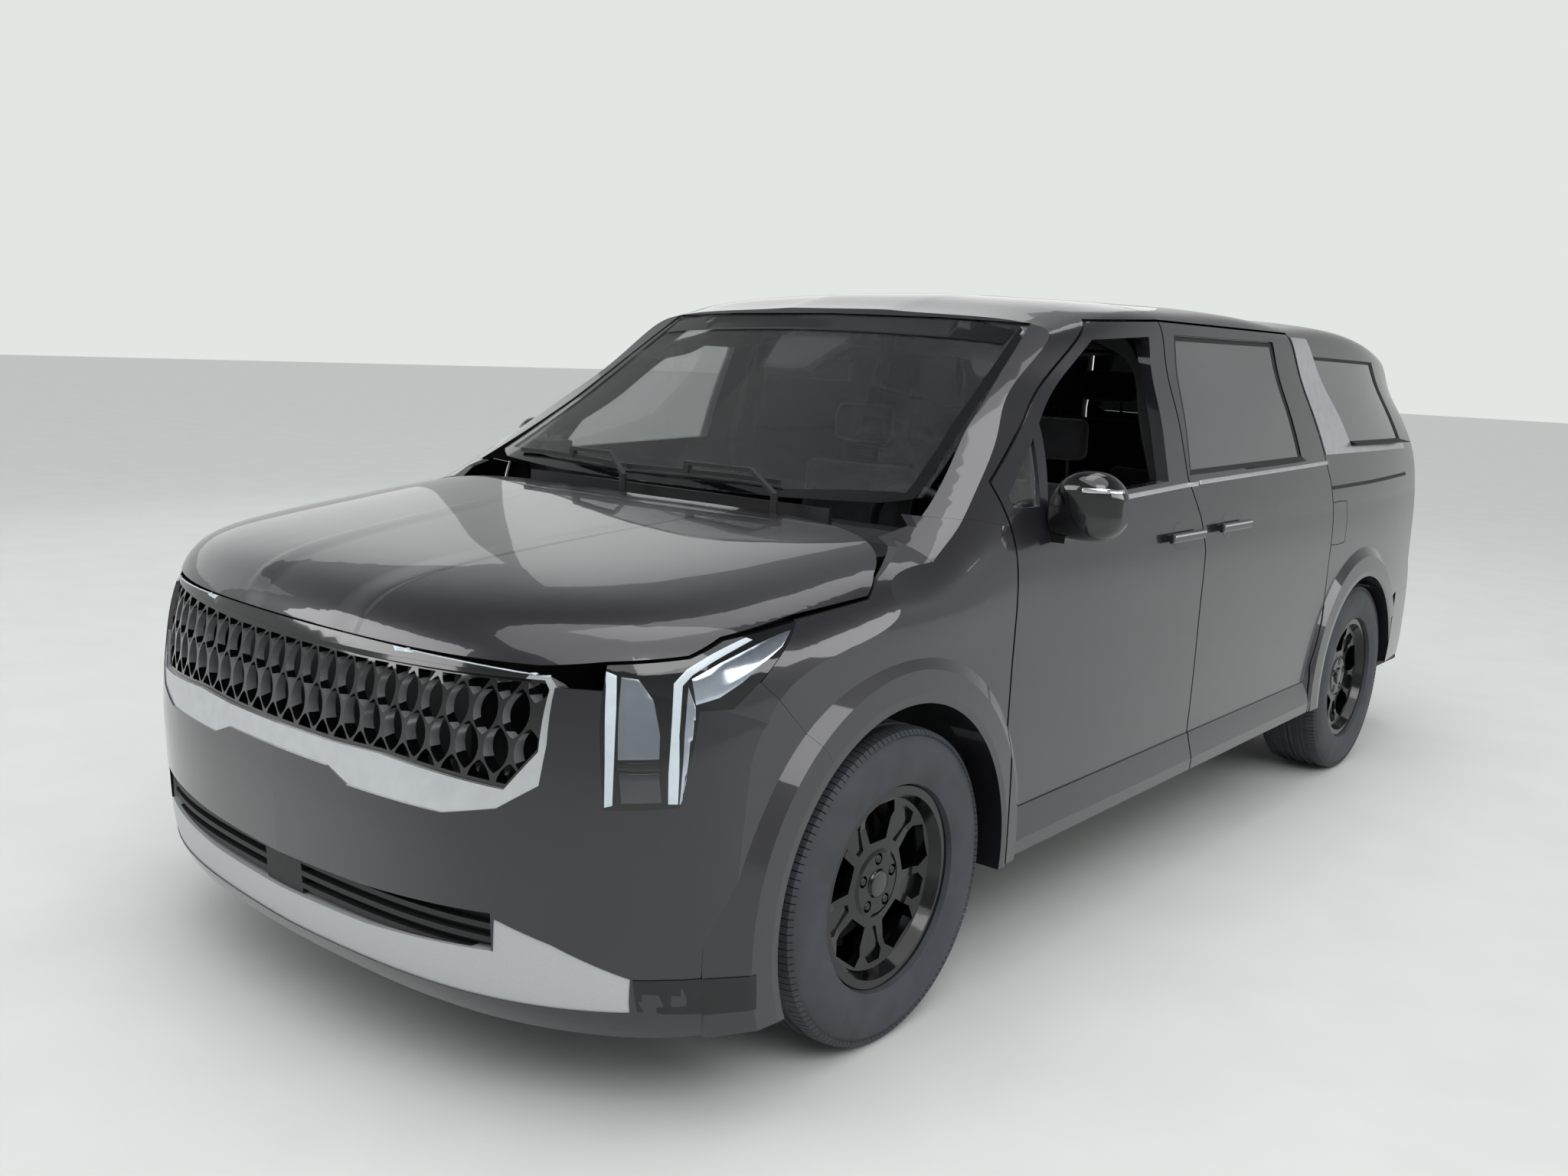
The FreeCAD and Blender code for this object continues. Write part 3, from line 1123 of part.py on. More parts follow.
axle = beam.fuse([half_axle, mirrored(half_axle)])
feature("rear_axle", axle)

engine = box(-320, 320, FRONT_Y - 560, FRONT_Y - 60, 300, 880)
mounting = box(-429.7, 429.7, FRONT_Y - 360, FRONT_Y - 280, 470, 540)
feature("engine_block", engine.fuse(mounting))
radiator = box(-429.7, 429.7, NOSE + 190, NOSE + 236, 330, 860)
feature("radiator", radiator)
feature("fuel_tank", box(-420, 120, SEAM_PILLAR + 60, SEAM_PILLAR + 860, 205, floor_low - 0.3))
pipe = rod(V(300, SEAM_FRONT + 60, 252), V(300, TAIL - 420, 252), 30)
silencer = box(200, 420, REAR_Y + 500, TAIL - 260, 205, floor_low - 0.3)
feature("exhaust", pipe.fuse(silencer))

# Cabin

dash_line = [(wall_y + 14.3, 760), (wall_y + 14.3, 1030), (wall_y + 60, 1085), (SEAM_FRONT + 300, 1060),
             (SEAM_FRONT + 385, 990),
             (SEAM_FRONT + 380, 860), (SEAM_FRONT + 300, 720)]
dash = prism_x(dash_line, -735, 735)
dash = dash.fuse(box(-845, 845, hinge_y + 20, SEAM_FRONT + 340, 780, 985))
column_axis = V(0, math.cos(math.radians(25)), math.sin(math.radians(25)))
wheel_centre = V(372, SEAM_FRONT + 480, 1000)
column = rod(wheel_centre - column_axis * 180, wheel_centre - column_axis * 42, 30)
stalk = rod(wheel_centre - column_axis * 43, wheel_centre - column_axis * 8, 12)
dash = dash.fuse([column, stalk])
feature("dashboard", dash)
rim_ring = Part.makeTorus(178, 15, wheel_centre, column_axis)
boss = rod(wheel_centre - column_axis * 40, wheel_centre + column_axis * 10, 62)
spoke = box(-172, 172, -22, 22, -8, 8)
spoke.Placement = FreeCAD.Placement(wheel_centre, FreeCAD.Rotation(V(1, 0, 0), -65))
steering = rim_ring.fuse([boss, spoke]).cut(rod(wheel_centre - column_axis * 60,
                                                wheel_centre - column_axis * 7, 12.05))
feature("steering_wheel", steering)


def seat(y, floor_z, middle, half):
    """Cushion, back and head restraint on a pedestal, y at the front of the cushion."""
    base = floor_z + 160
    line = [(y, base), (y - 8, base + 100), (y + 40, base + 140), (y + 430, base + 110),
            (y + 560, base + 700),
            (y + 600, base + 720), (y + 680, base + 690), (y + 575, base + 60), (y + 540, base)]
    shape = prism_x(line, middle - half, middle + half)
    posts = [box(middle + off - 8, middle + off + 8, y + 615, y + 631, base + 690,
                 base + 780) for off in (-60, 60)]
    head = box(middle - 135, middle + 135, y + 575, y + 670, base + 745, base + 915)
    foot = box(middle - half * 0.75, middle + half * 0.75, y + 60, y + 500, floor_z, base + 1)
    return shape.fuse(posts + [head, foot])


front_row = SEAM_FRONT + 560
second_row = SEAM_PILLAR + 400
third_row = REAR_Y - 330
front_seat = seat(front_row, floor_top, 385, 262)
feature("front_seats", both(front_seat))
second_seat = seat(second_row, floor_top, 385, 262)
feature("second_seats", both(second_seat))
third_seat = seat(third_row, floor_top + 150, 300, 295)
feature("third_seats", both(third_seat))
doc.recompute()

os.makedirs("parts", exist_ok=True)
for item in doc.Objects:
    if "Invalid" in item.State or "Error" in item.State:
        raise RuntimeError("%s failed" % item.Label)
for label, item in nodes.items():
    shape = item.Shape
    if shape.isNull() or not shape.isValid():
        raise RuntimeError("%s is not sound" % label)
for label, item in nodes.items():
    shape = item.Shape
    shape.exportStep("parts/%s.step" % label)
    print(label, len(shape.Solids), round(shape.Volume / 1e6, 2))
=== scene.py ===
import math
import bmesh
import bpy
from mathutils import Matrix, Vector


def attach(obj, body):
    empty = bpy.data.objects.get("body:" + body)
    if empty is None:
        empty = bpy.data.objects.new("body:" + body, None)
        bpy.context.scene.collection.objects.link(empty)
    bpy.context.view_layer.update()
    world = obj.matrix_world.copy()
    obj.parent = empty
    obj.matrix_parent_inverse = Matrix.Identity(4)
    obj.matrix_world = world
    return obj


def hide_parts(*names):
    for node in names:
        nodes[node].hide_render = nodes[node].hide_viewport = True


# Minivan in graphite metallic paint, parked on a plain pale floor. Metres, in the frame of the CAD model.

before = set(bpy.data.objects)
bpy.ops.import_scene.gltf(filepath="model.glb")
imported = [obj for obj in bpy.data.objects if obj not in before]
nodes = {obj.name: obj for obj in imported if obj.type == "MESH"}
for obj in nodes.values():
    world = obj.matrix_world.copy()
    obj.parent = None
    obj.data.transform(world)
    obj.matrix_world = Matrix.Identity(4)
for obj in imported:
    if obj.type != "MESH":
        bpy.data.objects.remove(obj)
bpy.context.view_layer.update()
bpy.ops.object.select_all(action="DESELECT")
scene = bpy.context.scene
scene.view_settings.view_transform = "Standard"

# Places that several pieces share, in metres

mm = 0.001
hub_x, hub_z = 0.86, 0.365
front_axle_y, rear_axle_y = -1.6425, 1.4475
cabin_z = 0.75
wheels = [("front_left", 1, front_axle_y), ("front_right", -1, front_axle_y),
          ("rear_left", 1, rear_axle_y), ("rear_right", -1, rear_axle_y)]

# Colours and materials


def linear(code, alpha=1.0):
    """sRGB hex to the linear colour that the shaders read."""
    parts = [int(code[i:i + 2], 16) / 255.0 for i in (1, 3, 5)]
    return [c / 12.92 if c <= 0.04045 else ((c + 0.055) / 1.055) ** 2.4 for c in parts] + [alpha]


def add(tree, kind, values=(), links=(), **settings):
    """One node with its settings, its input values, and the outputs that feed it."""
    made = tree.nodes.new(kind)
    for name, value in settings.items():
        setattr(made, name, value)
    for key, value in dict(values).items():
        made.inputs[key].default_value = value
    for key, source in dict(links).items():
        tree.links.new(source, made.inputs[key])
    return made


def material(name, colour, roughness, **values):
    """A Principled material with its constant values set on the shader itself."""
    made = bpy.data.materials.new(name)
    made.use_nodes = True
    shader = made.node_tree.nodes["Principled BSDF"]
    shader.inputs["Base Color"].default_value = linear(colour)
    shader.inputs["Roughness"].default_value = roughness
    for key, value in values.items():
        shader.inputs[key.replace("_", " ")].default_value = value
    return made, made.node_tree, shader


def place_of(tree):
    """Object coordinates in metres."""
    return add(tree, "ShaderNodeTexCoord").outputs["Object"]


def mottle(tree, shader, first, second, scale, detail=2.0):
    """Base colour that wanders between two tones."""
    noise = add(tree, "ShaderNodeTexNoise", {"Scale": scale, "Detail": detail}, {"Vector": place_of(tree)})
    blend = add(tree, "ShaderNodeMix", {6: linear(first), 7: linear(second)}, {0: noise.outputs["Fac"]},
                data_type="RGBA")
    tree.links.new(blend.outputs[2], shader.inputs["Base Color"])


def relief(tree, shader, height, depth, strength=0.5):
    """The surface raised by a height pattern; depth in metres."""
    bump = add(tree, "ShaderNodeBump", {"Strength": strength, "Distance": depth}, {"Height": height})
    tree.links.new(bump.outputs["Normal"], shader.inputs["Normal"])


def grain(tree, shader, scale, depth, strength=0.5):
    """Fine irregular unevenness; scale in cells per metre."""
    noise = add(tree, "ShaderNodeTexNoise", {"Scale": scale, "Detail": 3.0}, {"Vector": place_of(tree)})
    relief(tree, shader, noise.outputs["Fac"], depth, strength)


def lacquer(name):
    """Metallic base coat under clear coat: flakes of about 0.3 mm, drawn at 1.5 mm so that they show."""
    made, tree, shader = material(name, "#1E1D25", 0.33, Metallic=0.5, Coat_Weight=1.0, Coat_Roughness=0.025)
    mottle(tree, shader, "#19181F", "#26252E", 650.0)
    return made, tree, shader


# Sprayed body panels: the flakes sparkle under a smooth glossy layer that has long waves of about 110 mm
paint, tree, shader = lacquer("graphite_metallic_clear_coat")
wave = add(tree, "ShaderNodeTexNoise", {"Scale": 9.0, "Detail": 1.0}, {"Vector": place_of(tree)})
relief(tree, shader, wave.outputs["Fac"], 0.0008, 0.25)

# The same lacquer on the bonnet, where a relief of 7 mm stands for the pressed ridge that runs back on each side:
# it rises slowly from the middle of the bonnet over 92 mm and falls away over 18 mm on its outer side
ridge_front, ridge_back = (0.232, -2.432), (0.330, -1.626)
ridge_crest, ridge_inner, ridge_outer = -0.008, -0.10, 0.010
bonnet_paint, tree, shader = lacquer("graphite_metallic_bonnet")
spot = add(tree, "ShaderNodeSeparateXYZ", {}, {0: place_of(tree)})
ridge_x = add(tree, "ShaderNodeMapRange", {"From Min": ridge_front[1], "From Max": ridge_back[1],
                                           "To Min": ridge_front[0], "To Max": ridge_back[0]},
              {"Value": spot.outputs["Y"]}, clamp=False)
half_x = add(tree, "ShaderNodeMath", {}, {0: spot.outputs["X"]}, operation="ABSOLUTE")
beside = add(tree, "ShaderNodeMath", {}, {0: half_x.outputs[0], 1: ridge_x.outputs["Result"]}, operation="SUBTRACT")
fall = add(tree, "ShaderNodeMapRange", {"From Min": ridge_crest, "From Max": ridge_outer, "To Min": 1.0, "To Max": 0.0},
           {"Value": beside.outputs[0]}, interpolation_type="SMOOTHSTEP")
rise = add(tree, "ShaderNodeMapRange", {"From Min": ridge_inner, "From Max": ridge_crest},
           {"Value": beside.outputs[0]}, interpolation_type="SMOOTHSTEP")
ridge = add(tree, "ShaderNodeMath", {}, {0: fall.outputs["Result"], 1: rise.outputs["Result"]}, operation="MULTIPLY")
relief(tree, shader, ridge.outputs[0], 0.007, 1.0)

# Injection moulded ABS, polished tool and black pigment: near mirror, with faint flow waves
gloss_black, tree, shader = material("gloss_black_abs", "#08080A", 0.09, Coat_Weight=0.6, Coat_Roughness=0.03)
mottle(tree, shader, "#060607", "#0D0D10", 14.0)
grain(tree, shader, 25.0, 0.0003, 0.3)

# Spark eroded polypropylene: even matt grain of about 0.4 mm, drawn at 2 mm
black_trim, tree, shader = material("grained_black_polypropylene", "#131315", 0.55)
mottle(tree, shader, "#0F0F11", "#1A1A1D", 40.0)
grain(tree, shader, 500.0, 0.0004, 0.6)

# Satin chrome plating on ABS: metal colour with a soft brushed spread of the highlight
satin, tree, shader = material("satin_chrome_plated_abs", "#C9CBCF", 0.27, Metallic=0.85)
mottle(tree, shader, "#BDBFC4", "#D3D5D8", 30.0)
grain(tree, shader, 300.0, 0.0001, 0.25)

# Bright chrome strip: mirror with a slight tint
chrome, tree, shader = material("bright_chrome", "#E2E4E8", 0.07, Metallic=1.0)
mottle(tree, shader, "#DADCE1", "#ECEDEF", 18.0)

# Silver sprayed polypropylene of the lower garnish: fine even flake, no mirror
silver_paint, tree, shader = material("silver_sprayed_polypropylene", "#AEB0B3", 0.42, Metallic=0.3,
                                      Coat_Weight=0.25, Coat_Roughness=0.2)
mottle(tree, shader, "#A4A6A9", "#B9BBBE", 420.0)
grain(tree, shader, 420.0, 0.0001, 0.3)

# Laminated float glass: clear with a green cast at the edge, slightly wavy
clear_glass, tree, shader = material("laminated_float_glass", "#C4D0CE", 0.02, Transmission_Weight=1.0, IOR=1.45,
                                     Alpha=0.4)
mottle(tree, shader, "#BFCBC9", "#CCD6D4", 2.0)
grain(tree, shader, 3.0, 0.0004, 0.15)

# Toughened privacy glass: deep grey body tint with a pale sky reflection
tinted_glass, tree, shader = material("grey_privacy_glass", "#44474A", 0.05, IOR=1.5, Transmission_Weight=0.3,
                                      Coat_Weight=1.0, Coat_Roughness=0.02)
mottle(tree, shader, "#3E4144", "#4C4F52", 1.5)
grain(tree, shader, 3.0, 0.0004, 0.2)

# Polycarbonate lamp cover over a dark housing
lamp_dark, tree, shader = material("smoked_polycarbonate", "#0B0C0F", 0.06, Coat_Weight=0.3, Coat_Roughness=0.02)
mottle(tree, shader, "#08090B", "#121317", 12.0)

# Frosted light guide, unlit: milky plastic with soft translucence and fine upright ribs, 4 mm apart
guide, tree, shader = material("frosted_light_guide", "#BFC4CC", 0.3, Subsurface_Weight=0.15, Coat_Weight=0.5,
                               Coat_Roughness=0.08)
mottle(tree, shader, "#B5BAC2", "#CBD0D7", 30.0)
flutes = add(tree, "ShaderNodeTexWave", {"Scale": 80.0, "Distortion": 0.0}, {"Vector": place_of(tree)},
             bands_direction="X")
relief(tree, shader, flutes.outputs["Fac"], 0.0004, 0.3)

# Smoked grey diffuser pane inside the lamp
pane_grey, tree, shader = material("smoke_grey_diffuser", "#565B63", 0.22, Coat_Weight=1.0, Coat_Roughness=0.04)
mottle(tree, shader, "#4A4F57", "#6A7079", 9.0)

# Vacuum coated reflector: blue-silver mirror
reflector, tree, shader = material("vacuum_coated_reflector", "#B9C2D0", 0.12, Metallic=1.0)
mottle(tree, shader, "#A7B1C2", "#CFD6E0", 25.0)

# Red acrylic lens with moulded prisms, 5 mm apart
red_lens, tree, shader = material("red_acrylic_lens", "#7A0C10", 0.12, Coat_Weight=1.0, Coat_Roughness=0.03,
                                  Subsurface_Weight=0.1)
prisms = add(tree, "ShaderNodeTexWave", {"Scale": 60.0, "Distortion": 0.0}, {"Vector": place_of(tree)},
             bands_direction="Z")
mottle(tree, shader, "#6A090D", "#8E1216", 8.0)
relief(tree, shader, prisms.outputs["Fac"], 0.0006, 0.4)

# Moulded tyre rubber: black lightened to grey as a painted sheen of the sidewalls, fine mould texture
rubber, tree, shader = material("moulded_tyre_rubber", "#33363B", 0.6, Specular_IOR_Level=0.35)
mottle(tree, shader, "#2B2E32", "#42464D", 16.0, 5.0)
grain(tree, shader, 260.0, 0.0005, 0.5)

# Cast alloy wheel, black powder coat under clear coat
wheel_black, tree, shader = material("black_powder_coated_alloy", "#060607", 0.14, Specular_IOR_Level=0.3,
                                     Coat_Weight=0.35, Coat_Roughness=0.04)
mottle(tree, shader, "#050506", "#0A0A0C", 60.0)
grain(tree, shader, 180.0, 0.0003, 0.25)

# Machined and zinc plated steel of the hubs and brake discs
plated_steel, tree, shader = material("zinc_plated_steel", "#8D9096", 0.3, Metallic=1.0)
mottle(tree, shader, "#7C7F85", "#A0A3A8", 120.0)

# Primer coated pressed steel behind the panels
primer, tree, shader = material("dark_cathodic_primer", "#1B1B1E", 0.5)
mottle(tree, shader, "#161618", "#232327", 7.0)
grain(tree, shader, 90.0, 0.0003, 0.4)

# Stone guard wax on the underbody: satin black, lumpy
stone_guard, tree, shader = material("stone_guard_wax", "#0E0E0F", 0.6)
mottle(tree, shader, "#0A0A0B", "#1A1918", 11.0)
grain(tree, shader, 120.0, 0.0015, 0.6)

# Sand cast aluminium of the engine and gearbox
cast_alloy, tree, shader = material("sand_cast_aluminium", "#77787A", 0.5, Metallic=0.9)
mottle(tree, shader, "#68696B", "#88898B", 30.0)
grain(tree, shader, 200.0, 0.0008, 0.6)

# Aluminised exhaust steel with heat tint
exhaust_steel, tree, shader = material("aluminised_steel", "#6B675F", 0.45, Metallic=0.9)
mottle(tree, shader, "#5B554C", "#7D7A73", 8.0, 5.0)

# Slush moulded dashboard skin with leather grain of about 1 mm, drawn at 3 mm
dash_skin, tree, shader = material("slush_moulded_pvc", "#17171A", 0.5)
cells = add(tree, "ShaderNodeTexVoronoi", {"Scale": 330.0}, {"Vector": place_of(tree)}, feature="DISTANCE_TO_EDGE")
mottle(tree, shader, "#131315", "#1E1E22", 12.0)
relief(tree, shader, cells.outputs["Distance"], 0.0006)

# Woven polyester seat cloth: threads of about 1 mm, drawn at 4 mm
cloth, tree, shader = material("woven_polyester_seat_cloth", "#232326", 0.85, Sheen_Weight=0.35, Sheen_Roughness=0.45)
warp, weft = [add(tree, "ShaderNodeTexWave", {"Scale": 75.0, "Distortion": 0.6}, {"Vector": place_of(tree)},
                  bands_direction=direction).outputs["Fac"] for direction in ("X", "Z")]
weave = add(tree, "ShaderNodeMath", {}, {0: warp, 1: weft}, operation="MULTIPLY")
mottle(tree, shader, "#1C1C1F", "#303035", 25.0)
relief(tree, shader, weave.outputs[0], 0.0008, 0.6)

# EPDM window seal: dead black, soft
seal, tree, shader = material("epdm_seal_rubber", "#0C0C0D", 0.7)
mottle(tree, shader, "#0A0A0B", "#131314", 20.0)
grain(tree, shader, 150.0, 0.0003, 0.4)

# Grey smoked pane low in the lamp
smoked_pane, tree, shader = material("smoked_lamp_pane", "#24272C", 0.1, Coat_Weight=1.0, Coat_Roughness=0.03)
mottle(tree, shader, "#1D2024", "#2F3339", 18.0)

# Shaded hollow behind a door handle: body paint in its own shadow
cup_shade, tree, shader = material("shaded_graphite_lacquer", "#121115", 0.18, Coat_Weight=0.8, Coat_Roughness=0.05)
mottle(tree, shader, "#0F0E12", "#17161B", 30.0)

# Moulded door card: dark charcoal polypropylene with soft grain
door_card, tree, shader = material("charcoal_door_card", "#1E1D20", 0.6)
mottle(tree, shader, "#1A191C", "#262529", 14.0)
grain(tree, shader, 300.0, 0.0005, 0.5)

# Knitted headliner in warm light grey
headliner, tree, shader = material("knitted_headliner", "#8E8A84", 0.9, Sheen_Weight=0.2)
mottle(tree, shader, "#86827C", "#98948E", 20.0)
grain(tree, shader, 350.0, 0.0005, 0.6)

# Black zinc wheel nuts: bright edges on a dark satin coat
nut_steel, tree, shader = material("black_zinc_nut", "#3A3B3F", 0.22, Metallic=1.0)
mottle(tree, shader, "#313236", "#4A4B50", 90.0)

# Satin black hub cap with a fine spun texture
cap_black, tree, shader = material("satin_black_hub_cap", "#101012", 0.25, Coat_Weight=0.6, Coat_Roughness=0.06)
mottle(tree, shader, "#0D0D0F", "#16161A", 50.0)

# Corded piping along the seat seams, its twist drawn 2 mm apart
piping, tree, shader = material("twisted_seat_piping", "#3A3A3E", 0.75)
twist = add(tree, "ShaderNodeTexWave", {"Scale": 140.0, "Distortion": 0.0}, {"Vector": place_of(tree)},
            bands_direction="DIAGONAL")
mottle(tree, shader, "#323236", "#454549", 60.0)
relief(tree, shader, twist.outputs["Fac"], 0.0004)

# Silvered mirror glass
mirror_silver, tree, shader = material("silvered_mirror_glass", "#C8CDD2", 0.03, Metallic=1.0)
mottle(tree, shader, "#C2C7CC", "#CED3D8", 3.0)

finishes = {
    bonnet_paint: ["bonnet"],
    paint: ["body_sides", "roof_panel", "fenders", "front_bumper", "rear_bumper", "sliding_doors", "hatch",
            "front_door_left", "front_door_right"],
    primer: ["side_frames", "bulkhead", "front_structure"],
    stone_guard: ["floor_pan", "front_subframe", "rear_axle", "fuel_tank"],
    gloss_black: ["grille", "mirror_left", "mirror_right", "light_bar"],
    black_trim: ["lower_grille", "wipers", "radiator"],
    satin: ["grille_surround", "pillar_trim"],
    silver_paint: ["skid_garnish"],
    clear_glass: ["windscreen", "door_glass_left", "door_glass_right"],
    tinted_glass: ["side_glass", "hatch_glass"],
    lamp_dark: ["headlamps"],
    red_lens: ["tail_lamps", "hatch_lamp"],
    rubber: ["tyre_front_left", "tyre_front_right", "tyre_rear_left", "tyre_rear_right"],
    wheel_black: ["rim_front_left", "rim_front_right", "rim_rear_left", "rim_rear_right"],
    plated_steel: ["knuckle_left", "knuckle_right"],
    cast_alloy: ["engine_block"],
    exhaust_steel: ["exhaust"],
    dash_skin: ["dashboard", "steering_wheel"],
    cloth: ["front_seats", "second_seats", "third_seats"],
}
for finish, names in finishes.items():
    for name in names:
        held = nodes[name].data
        held.materials.clear()
        held.materials.append(finish)
        held.polygons.foreach_set("material_index", [0] * len(held.polygons))

# Pieces laid on the CAD surfaces

casts = {}


def cast_of(names):
    """The named CAD nodes as one merged surface to lay pieces on; it goes before the end."""
    if not isinstance(names, str):
        return names
    if names not in casts:
        joined = bmesh.new()
        for name in names.split():
            held = nodes[name].data.copy()
            held.transform(nodes[name].matrix_world)
            joined.from_mesh(held)
            bpy.data.meshes.remove(held)
        bmesh.ops.remove_doubles(joined, verts=joined.verts, dist=0.00001)
        mesh = bpy.data.meshes.new("cast")
        joined.to_mesh(mesh)
        joined.free()
        casts[names] = bpy.data.objects.new("cast", mesh)
        scene.collection.objects.link(casts[names])
    return casts[names]


def chosen(piece):
    """The piece alone selected and active."""
    bpy.ops.object.select_all(action="DESELECT")
    piece.select_set(True)
    bpy.context.view_layer.objects.active = piece
    return piece


def modified(piece, kind, **settings):
    """One modifier with its settings, applied."""
    chosen(piece)
    made = piece.modifiers.new(kind.title(), kind)
    for key, value in settings.items():
        setattr(made, key, value)
    bpy.ops.object.modifier_apply(modifier=made.name)
    return piece


def faces_chosen(piece, test):
    """Face mode in edit mode, with the faces selected that pass the test."""
    chosen(piece)
    bpy.context.tool_settings.mesh_select_mode = (False, False, True)
    bpy.ops.object.mode_set(mode="EDIT")
    bpy.ops.mesh.select_all(action="DESELECT")
    bpy.ops.object.mode_set(mode="OBJECT")
    for face in piece.data.polygons:
        face.select = test(face)
    bpy.ops.object.mode_set(mode="EDIT")


def rounded(piece, width, segments=2):
    """Edges sharper than about 34 degrees rounded off."""
    modified(piece, "BEVEL", width=width, segments=segments, limit_method="ANGLE", angle_limit=0.6)
    bpy.ops.object.shade_smooth_by_angle(angle=0.7)
    return piece


def finished(piece, name, finish, body="body"):
    """The piece named, given its finish, and riding on its body."""
    piece.name = name
    piece.data.name = name
    piece.data.materials.clear()
    piece.data.materials.append(finish)
    chosen(piece)
    bpy.ops.object.transform_apply(location=True, rotation=True, scale=True)
    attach(piece, body)
    return piece


def at(points, share):
    """Point at a share of the way along a polyline that is given in millimetres, corner by corner."""
    place = share * (len(points) - 1)
    first = min(int(place), len(points) - 2)
    return Vector(points[first]).lerp(Vector(points[first + 1]), place - first) * mm


def strip(name, first, second, names, finish, thick=2.0, stand=-0.3, steps=24, rows=2, soften=0.6, along_x=False,
          body="body"):
    """A band between two lines of points, laid on the CAD surface and given a thickness, all in millimetres.

    It is laid along X or onto the nearest place, and without names it stays where its points are.
    """
    bpy.ops.mesh.primitive_grid_add(x_subdivisions=steps, y_subdivisions=rows, size=2.0, location=(0, 0, 0))
    piece = bpy.context.object
    for vertex in piece.data.vertices:
        along, across = (vertex.co.x + 1) / 2, (vertex.co.y + 1) / 2
        vertex.co = at(first, along).lerp(at(second, along), across)
    if names is not None:
        way = {"wrap_method": "NEAREST_SURFACEPOINT"}
        if along_x:
            way = {"wrap_method": "PROJECT", "use_project_x": True, "use_negative_direction": True,
                   "use_positive_direction": True, "cull_face": "OFF"}
        modified(piece, "SHRINKWRAP", target=cast_of(names), **way, wrap_mode="ABOVE_SURFACE", offset=stand * mm)
    piece.data.update()
    outward = sum(((face.center - Vector((0, face.center.y * 0.8, cabin_z))).dot(face.normal)
                   for face in piece.data.polygons), 0.0)
    if outward < 0:
        piece.data.flip_normals()
    modified(piece, "SOLIDIFY", thickness=thick * mm, offset=1.0)
    if soften:
        rounded(piece, soften * mm)
    return finished(piece, name, finish, body)


def mirrored(piece, name, body="body"):
    """The same piece on the other side of the car, with its own mesh."""
    other = piece.copy()
    other.parent = None
    other.data = piece.data.copy()
    other.data.transform(Matrix.Scale(-1, 4, (1, 0, 0)))
    other.data.flip_normals()
    scene.collection.objects.link(other)
    other.matrix_world = Matrix.Identity(4)
    other.name = name
    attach(other, body)
    return other


def lowered(points, drop):
    """The same line of points further down, in millimetres."""
    return [(x, y, z - drop) for x, y, z in points]


# Lamp: frosted uprights, smoked pane, lower compartment, the bent light guide, its mirror and the wing
lamp_pieces = [
    ("lamp_inner_guide", [(788, -2355, 938), (804, -2372, 872), (817, -2382, 779), (824, -2388, 692)],
     [(805, -2345, 931), (820, -2359, 873), (830, -2371, 780), (835, -2378, 696)], guide, 3.0),
    ("lamp_pane", [(812, -2340, 929), (824, -2357, 873), (834, -2368, 822), (835, -2367, 781)],
     [(838, -2322, 927), (866, -2309, 890), (884, -2308, 828), (886, -2311, 783)], pane_grey, 2.0),
    ("lamp_divider", [(836, -2369, 777), (862, -2345, 776), (888, -2313, 778)],
     [(838, -2371, 763), (864, -2347, 762), (891, -2311, 763)], gloss_black, 4.0),
    ("lamp_lower_pane", [(840, -2368, 757), (866, -2340, 756), (888, -2313, 757)],
     [(846, -2366, 700), (870, -2338, 701), (894, -2310, 702)], smoked_pane, 1.5),
    ("lamp_outer_guide",
     [(904, -2303, 699), (901, -2301, 757), (896, -2292, 828), (883, -2275, 920), (890, -2249, 944),
      (904, -2203, 966), (913, -2156, 981), (917, -2118, 990)],
     [(915, -2288, 698), (912, -2284, 756), (904, -2279, 827), (893, -2262, 915), (899, -2244, 933),
      (911, -2199, 955), (920, -2156, 971), (924, -2107, 985)], guide, 4.0),
    ("lamp_outer_mirror", [(901, -2254, 914), (909, -2270, 827), (914, -2276, 777), (917, -2285, 697)],
     [(913, -2246, 874), (917, -2251, 827), (920, -2260, 777), (921, -2273, 700)], reflector, 1.5),
    ("lamp_wing", [(901, -2246, 927), (918, -2189, 952), (929, -2130, 970), (934, -2062, 986), (938, -2009, 995)],
     [(914, -2246, 880), (931, -2202, 890), (943, -2154, 914), (949, -2103, 943), (949, -2047, 969)], reflector, 2.0),
]
for name, first, second, finish, thick in lamp_pieces:
    piece = strip(name + "_left", first, second, "headlamps", finish, thick, steps=28, rows=4)
    mirrored(piece, name + "_right")

# Dark lower corner of the bumper, beside the silver garnish
piece = strip("bumper_low_trim_left", [(866, -2345, 350), (907, -2295, 348), (945, -2227, 341), (978, -2130, 332)],
              [(866, -2331, 284), (902, -2287, 276), (942, -2221, 266), (974, -2126, 260)], "front_bumper", black_trim,
              3.0, 0.3, steps=24, rows=4)
mirrored(piece, "bumper_low_trim_right")

